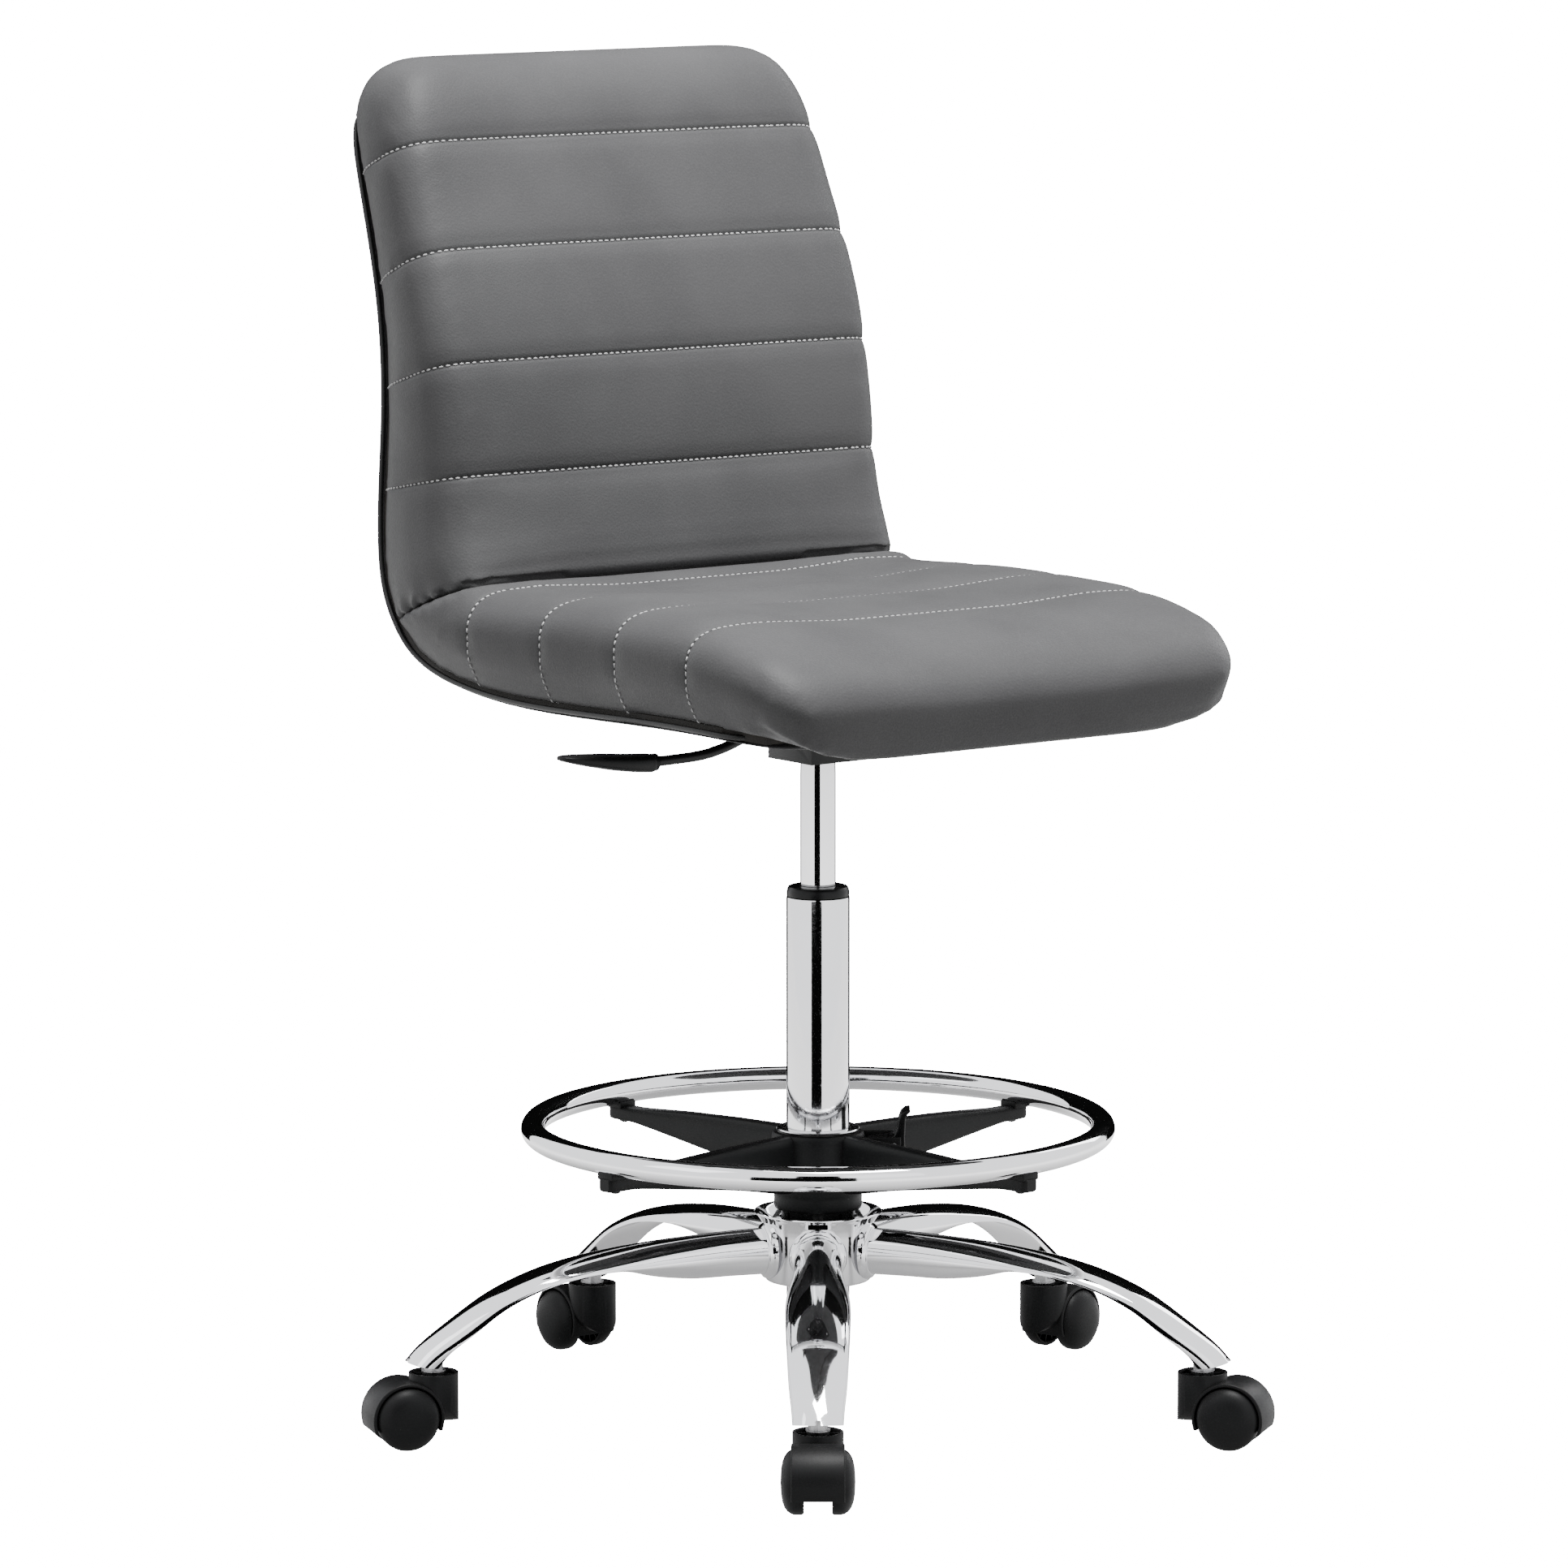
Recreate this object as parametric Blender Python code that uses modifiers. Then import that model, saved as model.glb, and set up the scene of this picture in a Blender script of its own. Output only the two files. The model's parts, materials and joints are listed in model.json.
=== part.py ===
"""Drafting chair: five-arm caster base, gas-lift column, foot ring and a bent upholstered shell.

Metres, +Z up. The chair faces -Y and +X is its left-hand side. The floor is z = 0.
Every sub-part is one named object. Moving pieces have their origin, or their parent
empty, on the axis they move about.
"""
import math

import bmesh
import bpy
from mathutils import Matrix, Vector

# ---- driving dimensions --------------------------------------------------------------
CENTRE_OFFSET = Vector((-0.0026, -0.0324, 0.0))  # puts the whole chair's box over the origin
GAP = 0.0003                    # clearance between pieces that touch

ARM_COUNT = 5
FIRST_ARM_DEG = -127.6          # heading of base arm 1, counted from +X
CASTER_RADIUS = 0.315           # column axis to caster stem

WHEEL_RADIUS = 0.025
WHEEL_SIDES = 18                # leaves a flat facet of the tread on the floor
WHEEL_INNER = 0.0106            # caster mid-plane to the wheel's inner face
WHEEL_OUTER = 0.0283
CASTER_TRAIL = 0.025
HOOD_RADIUS = 0.0285
HOOD_HALF_WIDTH = 0.0203
HOOD_BOTTOM = 0.0155
COLLAR_RADIUS = 0.0195
COLLAR_BOTTOM = 0.022
COLLAR_TOP = 0.058
POCKET_RADIUS = 0.0263
STEM_RADIUS = 0.0055
AXLE_RADIUS = 0.003

HUB_RADIUS = 0.042
HUB_BOTTOM = 0.1125
HUB_RIM_Z = 0.168
HUB_OUTSIDE = ((0.0505, HUB_RIM_Z), (0.0500, 0.1665), (0.0450, 0.1600), (0.0425, 0.1545),
               (HUB_RADIUS, 0.1480), (HUB_RADIUS, 0.1140), (0.0408, HUB_BOTTOM))
HUB_FIT = 0.0004                # gap between the hub's wall and the arms
CUP_FLOOR_Z = 0.150

TUBE_RADIUS = 0.025
TUBE_BORE = 0.0222
TUBE_BOTTOM = 0.100
TUBE_TOP = 0.418
CYLINDER_RADIUS = 0.014
CYLINDER_BORE = 0.0115
CYLINDER_BOTTOM = 0.200
CYLINDER_TOP = 0.548
ROD_RADIUS = 0.005

RING_RADIUS = 0.2245
RING_TUBE_RADIUS = 0.0095
RING_Z = 0.234
SPOKE_COUNT = 4
SPOKE_FIRST_DEG = FIRST_ARM_DEG + 45.0
SPOKE_END_RADIUS = 0.232
LOCK_DEG = FIRST_ARM_DEG + 90.0
LOCK_PIVOT = Vector((0.060, 0.0, 0.222))  # in the lever's own heading

MECH_FLOOR = 0.527
PLATE_BOTTOM = 0.5535
PLATE_TOP = 0.5565
PLATE_BOLT_X = 0.055
STRIP_DEPTH = 0.0019
STUD_STRIPS = (("stud_strip_rear", 0.065, 0.5751), ("stud_strip_front", -0.065, 0.5783))
LEVER_PIVOT = Vector((-0.030, 0.0, 0.558))
LEVER_ROD_RADIUS = 0.004

PLY_FRONT = 0.0004              # depth behind the shell line at which the plywood starts
PLY_THICKNESS = 0.007
COVER_FRONT = PLY_FRONT + PLY_THICKNESS + 0.0004
COVER_EDGE = 0.003              # thickness of the cover at its rim
BACK_CROWN = 0.010              # extra thickness of the cover along its middle
SEAT_CROWN = 0.0142
PIPING_DEPTH = 0.0050           # how far the piping lies behind the shell line
PIPING_REACH = 0.0035           # how far the piping runs past the board's two ends
BOARD_INSET = 0.0175            # the board, the piping and the cover stop short of the padding
PIPING_INSET = 0.0115
COVER_INSET = 0.0120
SHELL_CORNER = 0.050            # radius of the shell's rounded corners
LEVEL_SEAT_Z = (0.60, 0.66)     # the cover changes from the seat's crown to the back's here

# Stations up the upholstery: (forward, height) on the shell line, then on the padded face,
# and the half width of the padding there. The back runs down from its top edge.
BACK_STATIONS = (
    ((-0.338, 1.062), (-0.306, 1.064), 0.166),
    ((-0.352, 1.052), (-0.288, 1.053), 0.188),
    ((-0.357, 1.035), (-0.273, 1.031), 0.199),
    ((-0.351, 1.012), (-0.263, 1.006), 0.205),
    ((-0.3345, 0.975), (-0.249, 0.967), 0.209),
    ((-0.3155, 0.925), (-0.2275, 0.915), 0.212),
    ((-0.301, 0.880), (-0.212, 0.870), 0.2145),
    ((-0.295, 0.840), (-0.203, 0.832), 0.215),
    ((-0.2935, 0.790), (-0.194, 0.785), 0.215),
    ((-0.2975, 0.735), (-0.190, 0.735), 0.216),
    ((-0.297, 0.690), (-0.183, 0.696), 0.218),
    ((-0.289, 0.652), (-0.172, 0.673), 0.2215),
    ((-0.271, 0.6265), (-0.167, 0.6610), 0.2235),
)
SEAT_STATIONS = (
    ((-0.269, 0.6240), (-0.1665, 0.6580), 0.2235),
    ((-0.244, 0.6060), (-0.155, 0.653), 0.2265),
    ((-0.207, 0.5932), (-0.135, 0.651), 0.2285),
    ((-0.152, 0.5850), (-0.105, 0.6515), 0.2295),
    ((-0.090, 0.5820), (-0.060, 0.654), 0.230),
    ((-0.020, 0.5830), (-0.010, 0.6555), 0.230),
    ((0.050, 0.585), (0.050, 0.6555), 0.230),
    ((0.110, 0.586), (0.120, 0.654), 0.231),
    ((0.160, 0.5855), (0.172, 0.6475), 0.232),
    ((0.197, 0.582), (0.216, 0.637), 0.230),
    ((0.225, 0.5725), (0.243, 0.620), 0.221),
    ((0.239, 0.5615), (0.256, 0.603), 0.206),
    ((0.249, 0.5640), (0.255, 0.588), 0.188),
)
# Half of each cushion's section: share of the half width, share of the padding's depth.
BACK_OUTLINE = ((1.0, 0.40), (1.0, 0.72), (0.975, 0.90), (0.91, 0.985), (0.50, 1.0))
SEAT_OUTLINE = ((1.0, 0.40), (1.0, 0.74), (0.975, 0.95), (0.89, 1.06), (0.70, 1.08), (0.36, 1.01))
BASE_SHARE = 0.95               # width of the padding where it meets the shell
NOSE_SHARES = (0.92, 0.82, 0.70, 0.60)
BACK_SHELL_FIRST = 2            # the plywood starts below the padding's rounded top
SEAT_SHELL_LAST = 10            # and stops short of its rounded front

# Stations along a base arm: radius and height of the top edge, of the bottom edge, half
# width, level of the widest point and level of the underside's middle (0 bottom, 1 top).
ARM_STATIONS = (
    ((0.036, 0.1560), (0.036, 0.1190), 0.0187, 0.50, 0.00),
    ((0.075, 0.1548), (0.075, 0.1190), 0.0190, 0.50, 0.00),
    ((0.106, 0.1530), (0.106, 0.1190), 0.0195, 0.48, 0.00),
    ((0.139, 0.1503), (0.139, 0.1220), 0.0215, 0.42, 0.05),
    ((0.172, 0.1460), (0.168, 0.1270), 0.0240, 0.30, 0.20),
    ((0.2055, 0.1400), (0.200, 0.1272), 0.0252, 0.18, 0.38),
    ((0.2385, 0.1305), (0.230, 0.1205), 0.0250, 0.15, 0.38),
    ((0.2715, 0.1160), (0.2605, 0.1065), 0.0240, 0.15, 0.35),
    ((0.304, 0.0950), (0.286, 0.0865), 0.0225, 0.20, 0.20),
    ((0.325, 0.0795), (0.302, 0.0720), 0.0205, 0.35, 0.10),
    ((0.337, 0.0670), (0.311, 0.0620), 0.0195, 0.50, 0.00),
)
ARM_SIDES = 14

# ---- finishes: colour, metallic, roughness ----------------------------------------------
FINISHES = {
    "chrome": ((0.80, 0.80, 0.82), 1.0, 0.08),
    "steel": ((0.45, 0.45, 0.46), 1.0, 0.35),
    "black_steel": ((0.025, 0.025, 0.027), 0.6, 0.45),
    "black_plastic": ((0.022, 0.022, 0.024), 0.0, 0.50),
    "rubber": ((0.015, 0.015, 0.015), 0.0, 0.85),
    "leatherette": ((0.13, 0.13, 0.13), 0.0, 0.50),
    "plywood": ((0.42, 0.28, 0.15), 0.0, 0.70),
}


def clear_scene():
    """Remove every object of the start-up scene."""
    for obj in list(bpy.data.objects):
        bpy.data.objects.remove(obj, do_unlink=True)


def new_collection(name):
    """Add a collection to the scene."""
    made = bpy.data.collections.new(name)
    bpy.context.scene.collection.children.link(made)
    return made


def finish_material(name):
    """Return the Principled material of one finish, made on first use."""
    material = bpy.data.materials.get(name)
    if material is None:
        colour, metallic, roughness = FINISHES[name]
        material = bpy.data.materials.new(name)
        material.use_nodes = True
        shader = material.node_tree.nodes["Principled BSDF"]
        shader.inputs["Base Color"].default_value = (*colour, 1.0)
        shader.inputs["Metallic"].default_value = metallic
        shader.inputs["Roughness"].default_value = roughness
    return material


def add_object(name, data, finish, parent, matrix=None):
    """Link an object with its own material under its parent, placed by matrix."""
    obj = bpy.data.objects.new(name, data)
    if not data.materials:
        data.materials.append(finish_material(finish))
    parts.objects.link(obj)
    obj.parent = parent
    obj.matrix_basis = matrix or Matrix.Identity(4)
    return obj


def add_empty(name, parent, matrix=None):
    """Add an empty that carries a group of pieces."""
    empty = bpy.data.objects.new(name, None)
    parts.objects.link(empty)
    empty.parent = parent
    empty.matrix_basis = matrix or Matrix.Identity(4)
    return empty


def heading(degrees, radius=0.0, height=0.0):
    """Turn about Z, then step out along the new X and up."""
    turn = Matrix.Rotation(math.radians(degrees), 4, "Z")
    return turn @ Matrix.Translation((radius, 0.0, height))


def bmesh_to_mesh(name, shape):
    """Write a bmesh to a new mesh, facing out, smooth where faces meet at a small angle."""
    bmesh.ops.recalc_face_normals(shape, faces=shape.faces)
    if shape.calc_volume(signed=True) < 0.0:
        bmesh.ops.reverse_faces(shape, faces=shape.faces)
    mesh = bpy.data.meshes.new(name)
    shape.to_mesh(mesh)
    shape.free()
    mesh.shade_smooth()
    mesh.set_sharp_from_angle(angle=math.radians(35))
    return mesh


# ---- shape helpers ---------------------------------------------------------------------
def turned(name, profile, finish, parent, matrix=None, ring=False, steps=28):
    """Turn a profile of (radius, height) about Z. It runs down the outer side."""
    mesh = bpy.data.meshes.new(name)
    last = len(profile) - 1
    edges = [(i, i + 1) for i in range(last)]
    if ring:
        edges.append((last, 0))
    mesh.from_pydata([(r, 0.0, z) for r, z in profile], edges, [])
    obj = add_object(name, mesh, finish, parent, matrix)
    screw = obj.modifiers.new("Turn", "SCREW")
    screw.steps = screw.render_steps = steps
    screw.use_merge_vertices = True
    screw.merge_threshold = 0.00001
    screw.use_smooth_shade = True
    return obj


def pattern_mesh(name, profile, ring=False, steps=28):
    """The plain mesh of a turned shape, for pieces that share it and for cutters."""
    pattern = turned(f"{name}_pattern", profile, "steel", root, ring=ring, steps=steps)
    mesh = evaluated_mesh(pattern, name)
    mesh.materials.clear()
    bpy.data.objects.remove(pattern, do_unlink=True)
    return mesh


def washer(name, outer, inner, bottom, top, finish, parent, steps=28):
    """A plain ring of rectangular section about Z."""
    profile = ((outer, top), (outer, bottom), (inner, bottom), (inner, top))
    return turned(name, profile, finish, parent, ring=True, steps=steps)


def cutter_object(name, mesh, matrix=None):
    """Add a hidden cutting shape."""
    obj = bpy.data.objects.new(name, mesh)
    cutters.objects.link(obj)
    obj.parent = root
    obj.matrix_basis = matrix or Matrix.Identity(4)
    obj.hide_render = True
    obj.display_type = "WIRE"
    return obj


def cylinder_mesh(name, radius, low, high, sides=16, matrix=None):
    """A closed cylinder about Z from low to high, then placed by matrix."""
    shape = bmesh.new()
    bmesh.ops.create_cone(shape, cap_ends=True, segments=sides, radius1=radius, radius2=radius,
                          depth=high - low, matrix=Matrix.Translation((0, 0, (low + high) / 2)))
    shape.transform(matrix or Matrix.Identity(4))
    return bmesh_to_mesh(name, shape)


def box_mesh(name, low, high):
    """A closed box mesh between two corners."""
    shape = bmesh.new()
    low, high = Vector(low), Vector(high)
    place = Matrix.Translation((low + high) / 2) @ Matrix.Diagonal((*(high - low), 1.0))
    bmesh.ops.create_cube(shape, size=1.0, matrix=place)
    return bmesh_to_mesh(name, shape)


def cut(obj, *tools, operation="DIFFERENCE"):
    """Cut each tool out of an object, or join it on."""
    for tool in tools:
        boolean = obj.modifiers.new(tool.name, "BOOLEAN")
        boolean.operation = operation
        boolean.solver = "EXACT"
        boolean.object = tool


def evaluated_mesh(obj, name):
    """The mesh of an object after its modifiers, welded and smooth."""
    bpy.context.view_layer.update()
    graph = bpy.context.evaluated_depsgraph_get()
    mesh = bpy.data.meshes.new_from_object(obj.evaluated_get(graph))
    shape = bmesh.new()
    shape.from_mesh(mesh)
    bmesh.ops.remove_doubles(shape, verts=shape.verts, dist=0.00001)
    materials = list(mesh.materials)
    bpy.data.meshes.remove(mesh)
    made = bmesh_to_mesh(name, shape)
    for material in materials:
        made.materials.append(material)
    return made


def bake(obj):
    """Replace a curve or a piece with modifiers by its plain mesh object."""
    mesh = evaluated_mesh(obj, obj.name)
    name, parent, matrix = obj.name, obj.parent, obj.matrix_basis.copy()
    bpy.data.objects.remove(obj, do_unlink=True)
    return add_object(name, mesh, None, parent, matrix)


def tube(name, points, radius, finish, parent, matrix=None, cyclic=False, sides=2):
    """A round bar along a polyline, made with a bevelled curve and filled ends."""
    curve = bpy.data.curves.new(name, "CURVE")
    curve.dimensions = "3D"
    curve.bevel_depth = radius
    curve.bevel_resolution = sides
    curve.use_fill_caps = not cyclic
    spline = curve.splines.new("POLY")
    spline.points.add(len(points) - 1)
    for point, place in zip(spline.points, points):
        point.co = (*place, 1.0)
    spline.use_cyclic_u = cyclic
    return bake(add_object(name, curve, finish, parent, matrix))


def plan_plate(name, outline, low, high, finish, parent, matrix=None):
    """A flat outline in XY, given thickness from low to high."""
    shape = bmesh.new()
    face = shape.faces.new([shape.verts.new((x, y, low)) for x, y in outline])
    grown = bmesh.ops.extrude_face_region(shape, geom=[face])
    lifted = [item for item in grown["geom"] if isinstance(item, bmesh.types.BMVert)]
    bmesh.ops.translate(shape, verts=lifted, vec=(0.0, 0.0, high - low))
    return add_object(name, bmesh_to_mesh(name, shape), finish, parent, matrix)


def loft(name, loops, finish, parent, matrix=None):
    """Skin a row of equal closed loops and close both ends."""
    shape = bmesh.new()
    rings = [[shape.verts.new(point) for point in loop] for loop in loops]
    count = len(rings[0])
    for near, far in zip(rings, rings[1:]):
        for i in range(count):
            j = (i + 1) % count
            shape.faces.new((near[i], near[j], far[j], far[i]))
    shape.faces.new(list(reversed(rings[0])))
    shape.faces.new(rings[-1])
    return add_object(name, bmesh_to_mesh(name, shape), finish, parent, matrix)


# ---- base ----------------------------------------------------------------------------
def make_base_hub():
    """Chromed hub with a flared cup on top and a bore for the column."""
    bore = TUBE_RADIUS + 0.0005
    profile = (*HUB_OUTSIDE, (bore, HUB_BOTTOM), (bore, CUP_FLOOR_Z), (0.0385, CUP_FLOOR_Z),
               (0.0400, 0.1560), (0.0480, 0.1675))
    turned("base_hub", profile, "chrome", root, ring=True, steps=36)


def arm_loop(top, bottom, half_width, widest, under):
    """Section of an arm: an oval whose underside may be pressed up into a hollow."""
    loop = []
    for k in range(ARM_SIDES):
        angle = 2.0 * math.pi * k / ARM_SIDES
        if math.sin(angle) >= 0.0:
            level = widest + (1.0 - widest) * math.sin(angle)
        else:
            level = widest + (under - widest) * -math.sin(angle)
        radius = bottom[0] + (top[0] - bottom[0]) * level
        height = bottom[1] + (top[1] - bottom[1]) * level
        loop.append(Vector((radius, half_width * math.cos(angle), height)))
    return loop


def make_arms():
    """Five pressed-tube arms, fitted to the hub's wall and bored for their caster stems."""
    socket_bore = cylinder_mesh("arm_bore", 0.0078, 0.050, 0.0783)
    wall = [(r + HUB_FIT, z) for r, z in HUB_OUTSIDE]
    hub_space = pattern_mesh("hub_space", [(0.0, HUB_RIM_Z), *wall, (0.0, HUB_BOTTOM)], steps=36)
    cutter_object("hub_space", hub_space)
    loops = [arm_loop(*station) for station in ARM_STATIONS]
    for n in range(ARM_COUNT):
        turn = heading(FIRST_ARM_DEG + n * 360.0 / ARM_COUNT)
        arm = loft(f"base_arm_{n + 1}", loops, "chrome", root, turn)
        place = turn @ Matrix.Translation((CASTER_RADIUS, 0.0, 0.0))
        cut(arm, cutter_object(f"arm_bore_{n + 1}", socket_bore, place),
            bpy.data.objects["hub_space"])


def make_caster_stems():
    """Steel stems, each moulded into the bush that is pressed into its arm tip."""
    profile = ((0.0, 0.0780), (0.0068, 0.0780), (0.0075, 0.0770), (0.0075, 0.0600),
               (0.0095, 0.0600), (0.0095, 0.0588), (STEM_RADIUS, 0.0588), (STEM_RADIUS, 0.0310),
               (0.0, 0.0310))
    stem = pattern_mesh("caster_stem", profile, steps=16)
    for n in range(ARM_COUNT):
        place = heading(FIRST_ARM_DEG + n * 360.0 / ARM_COUNT, CASTER_RADIUS)
        add_object(f"caster_stem_{n + 1}", stem, "steel", root, place)


# ---- casters ---------------------------------------------------------------------------
def caster_housing_mesh():
    """Swivel collar joined to a hood over both wheels, with the wheel pockets cut out."""
    across = Matrix.Rotation(math.radians(90), 4, "X")
    axle = Matrix.Translation((CASTER_TRAIL, 0.0, WHEEL_RADIUS))
    blank = cylinder_mesh("collar", COLLAR_RADIUS, COLLAR_BOTTOM, COLLAR_TOP, 20)
    housing = add_object("housing_pattern", blank, "black_plastic", root)
    hood = cylinder_mesh("hood", HOOD_RADIUS, -HOOD_HALF_WIDTH, HOOD_HALF_WIDTH, 24, axle @ across)
    cut(housing, cutter_object("hood", hood), operation="UNION")
    inner, outer = WHEEL_INNER - GAP, WHEEL_OUTER + 0.004
    shapes = {
        "pocket_left": cylinder_mesh("pocket_left", POCKET_RADIUS, inner, outer, 20, axle @ across),
        "pocket_right": cylinder_mesh("pocket_right", POCKET_RADIUS, -outer, -inner, 20,
                                      axle @ across),
        "hood_bottom": box_mesh("hood_bottom", (-0.04, -0.04, -0.01), (0.08, 0.04, HOOD_BOTTOM)),
        "stem_bore": cylinder_mesh("stem_bore", STEM_RADIUS + 0.00025, 0.0307, 0.07, 16),
        "axle_bore": cylinder_mesh("axle_bore", AXLE_RADIUS + GAP, -0.03, 0.03, 12, axle @ across),
    }
    cut(housing, *(cutter_object(name, mesh) for name, mesh in shapes.items()))
    recess = ((0.0170, 0.070), (0.0170, 0.0500), (0.0085, 0.0500), (0.0085, 0.070))
    recess_mesh = pattern_mesh("collar_recess", recess, ring=True, steps=20)
    cut(housing, cutter_object("collar_recess", recess_mesh))
    mesh = evaluated_mesh(housing, "caster_housing")
    bpy.data.objects.remove(housing, do_unlink=True)
    return mesh


def wheel_mesh():
    """Wheel with a domed outer face and a blind bore, turned about Z, dome at +Z."""
    profile = ((0.0, WHEEL_OUTER), (0.0120, 0.0277), (0.0205, 0.0248), (0.0250, 0.0195),
               (0.0250, 0.0120), (0.0240, WHEEL_INNER), (0.0031, WHEEL_INNER),
               (0.0031, 0.0225), (0.0, 0.0225))
    grow = 1.0 / math.cos(math.pi / WHEEL_SIDES)  # the facets, not the edges, are at the radius
    return pattern_mesh("caster_wheel", [(r * grow, z) for r, z in profile], steps=WHEEL_SIDES)


def make_casters():
    """Five twin-wheel casters that trail outward from their stems."""
    housing = caster_housing_mesh()
    wheel = wheel_mesh()
    axle = cylinder_mesh("caster_axle", AXLE_RADIUS, -0.0220, 0.0220, 12)
    at_axle = Matrix.Translation((CASTER_TRAIL, 0.0, WHEEL_RADIUS))
    for n in range(ARM_COUNT):
        place = heading(FIRST_ARM_DEG + n * 360.0 / ARM_COUNT, CASTER_RADIUS)
        swivel = add_empty(f"caster_swivel_{n + 1}", root, place)
        add_object(f"caster_housing_{n + 1}", housing, "black_plastic", swivel)
        sideways = Matrix.Rotation(math.radians(-90), 4, "X")
        add_object(f"caster_axle_{n + 1}", axle, "steel", swivel, at_axle @ sideways)
        for side, degrees in (("left", -90), ("right", 90)):
            face_out = Matrix.Rotation(math.radians(degrees), 4, "X")
            add_object(f"caster_wheel_{n + 1}_{side}", wheel, "black_plastic", swivel,
                       at_axle @ face_out)


# ---- column ----------------------------------------------------------------------------
def make_column():
    """Outer tube with its guide bush, and the thrust bearing at its foot."""
    tube_profile = ((TUBE_RADIUS, TUBE_TOP), (TUBE_RADIUS, TUBE_BOTTOM), (0.0055, TUBE_BOTTOM),
                    (0.0055, 0.104), (TUBE_BORE, 0.104), (TUBE_BORE, TUBE_TOP))
    turned("column_tube", tube_profile, "chrome", root, ring=True)
    bush = ((0.0236, 0.4265), (0.0247, 0.4250), (0.0247, TUBE_TOP + GAP),
            (TUBE_BORE - 0.0004, TUBE_TOP + GAP), (TUBE_BORE - 0.0004, 0.360), (0.0144, 0.360),
            (0.0144, 0.4265))
    turned("column_guide_bush", bush, "black_plastic", root, ring=True)
    washer("bearing_lower_race", 0.0160, 0.0058, 0.1043, 0.1063, "steel", root, 20)
    washer("bearing_cage", 0.0150, 0.0062, 0.1066, 0.1090, "steel", root, 20)
    washer("bearing_upper_race", 0.0160, 0.0054, 0.1093, 0.1113, "steel", root, 20)
    washer("bump_stop", 0.0130, 0.0054, 0.1116, 0.1300, "rubber", root, 20)
    washer("rod_clip", 0.0100, 0.0054, 0.0970, 0.0985, "steel", root, 16)


def make_gas_lift():
    """Piston rod held in the column, and the cylinder that slides over it."""
    rod = ((0.0, 0.3780), (ROD_RADIUS, 0.3780), (ROD_RADIUS, 0.0945), (0.0, 0.0945))
    turned("piston_rod", rod, "steel", root, steps=16)
    washer("piston", CYLINDER_BORE - 0.0006, 0.0054, 0.3600, 0.3750, "steel", root, 20)
    cylinder = ((0.0130, CYLINDER_TOP), (CYLINDER_RADIUS, 0.5150),
                (CYLINDER_RADIUS, CYLINDER_BOTTOM), (CYLINDER_BORE, CYLINDER_BOTTOM),
                (CYLINDER_BORE, 0.5200), (0.0044, 0.5200), (0.0044, CYLINDER_TOP))
    turned("gas_cylinder", cylinder, "chrome", root, ring=True)
    washer("gas_gland", CYLINDER_BORE - 0.0004, 0.0054, 0.2005, 0.2205, "rubber", root, 20)
    pin = ((0.0, 0.5535), (0.0040, 0.5535), (0.0040, 0.5250), (0.0, 0.5250))
    turned("release_pin", pin, "steel", root, steps=16)


# ---- seat mechanism ----------------------------------------------------------------------
def make_mechanism():
    """Pressed plate with a boxed socket for the gas cylinder and lugs for the lever."""
    flange = box_mesh("seat_mechanism", (-0.075, -0.085, PLATE_BOTTOM), (0.075, 0.085, PLATE_TOP))
    plate = add_object("seat_mechanism", flange, "black_steel", root)
    body = box_mesh("mech_box", (-0.030, -0.031, MECH_FLOOR), (0.030, 0.025, PLATE_BOTTOM + 0.001))
    hollow = box_mesh("mech_hollow", (-0.027, -0.028, MECH_FLOOR + 0.003), (0.027, 0.022, 0.552))
    socket = cylinder_mesh("mech_socket", 0.0185, MECH_FLOOR + 0.001, 0.5545, 24)
    cut(plate, cutter_object("mech_box", body), operation="UNION")
    cut(plate, cutter_object("mech_hollow", hollow))
    cut(plate, cutter_object("mech_socket", socket), operation="UNION")
    pivot_x, pivot_z = LEVER_PIVOT.x, LEVER_PIVOT.z
    for side in (-1.0, 1.0):
        near, far = sorted((side * 0.0064, side * 0.0092))
        lug = box_mesh("lever_lug", (pivot_x - 0.004, near, PLATE_BOTTOM + 0.001),
                       (pivot_x + 0.004, far, pivot_z + 0.0036))
        cut(plate, cutter_object("lever_lug", lug), operation="UNION")
    across = Matrix.Translation(LEVER_PIVOT) @ Matrix.Rotation(math.radians(90), 4, "X")
    tools = [
        cylinder_mesh("cylinder_bore", CYLINDER_RADIUS + 0.0005, 0.50, 0.60, 24),
        box_mesh("lever_window", (-0.080, -0.0058, 0.5505), (0.018, 0.0058, 0.60)),
        cylinder_mesh("pivot_bore", 0.0024, -0.02, 0.02, 12, across),
    ]
    tools += [cylinder_mesh("stud_hole", 0.0034, 0.54, 0.57, 12, place)
              for place in stud_places()]
    cut(plate, *(cutter_object(tool.name, tool) for tool in tools))
    pin = cylinder_mesh("lever_pivot_pin", 0.0020, -0.0112, 0.0112, 12)
    add_object("lever_pivot_pin", pin, "steel", root, across)


def make_stud_strips():
    """Two strips let into the underside of the plywood, whose studs hold the plate."""
    for name, y, low in STUD_STRIPS:
        strip = box_mesh(name, (-0.065, y - 0.004, low), (0.065, y + 0.004, low + STRIP_DEPTH))
        piece = add_object(name, strip, "steel", root)
        for x in (-PLATE_BOLT_X, PLATE_BOLT_X):
            place = Matrix.Translation((x, y, 0.0))
            stud = cylinder_mesh("stud", 0.0030, 0.5490, low + 0.001, 12, place)
            nut = cylinder_mesh("nut", 0.0062, 0.5495, PLATE_BOTTOM - GAP, 6, place)
            cut(piece, cutter_object("stud", stud), cutter_object("nut", nut), operation="UNION")


def stud_places():
    """Where the four studs stand."""
    return [Matrix.Translation((x, y, 0.0))
            for x in (-PLATE_BOLT_X, PLATE_BOLT_X) for _, y, _ in STUD_STRIPS]


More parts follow.
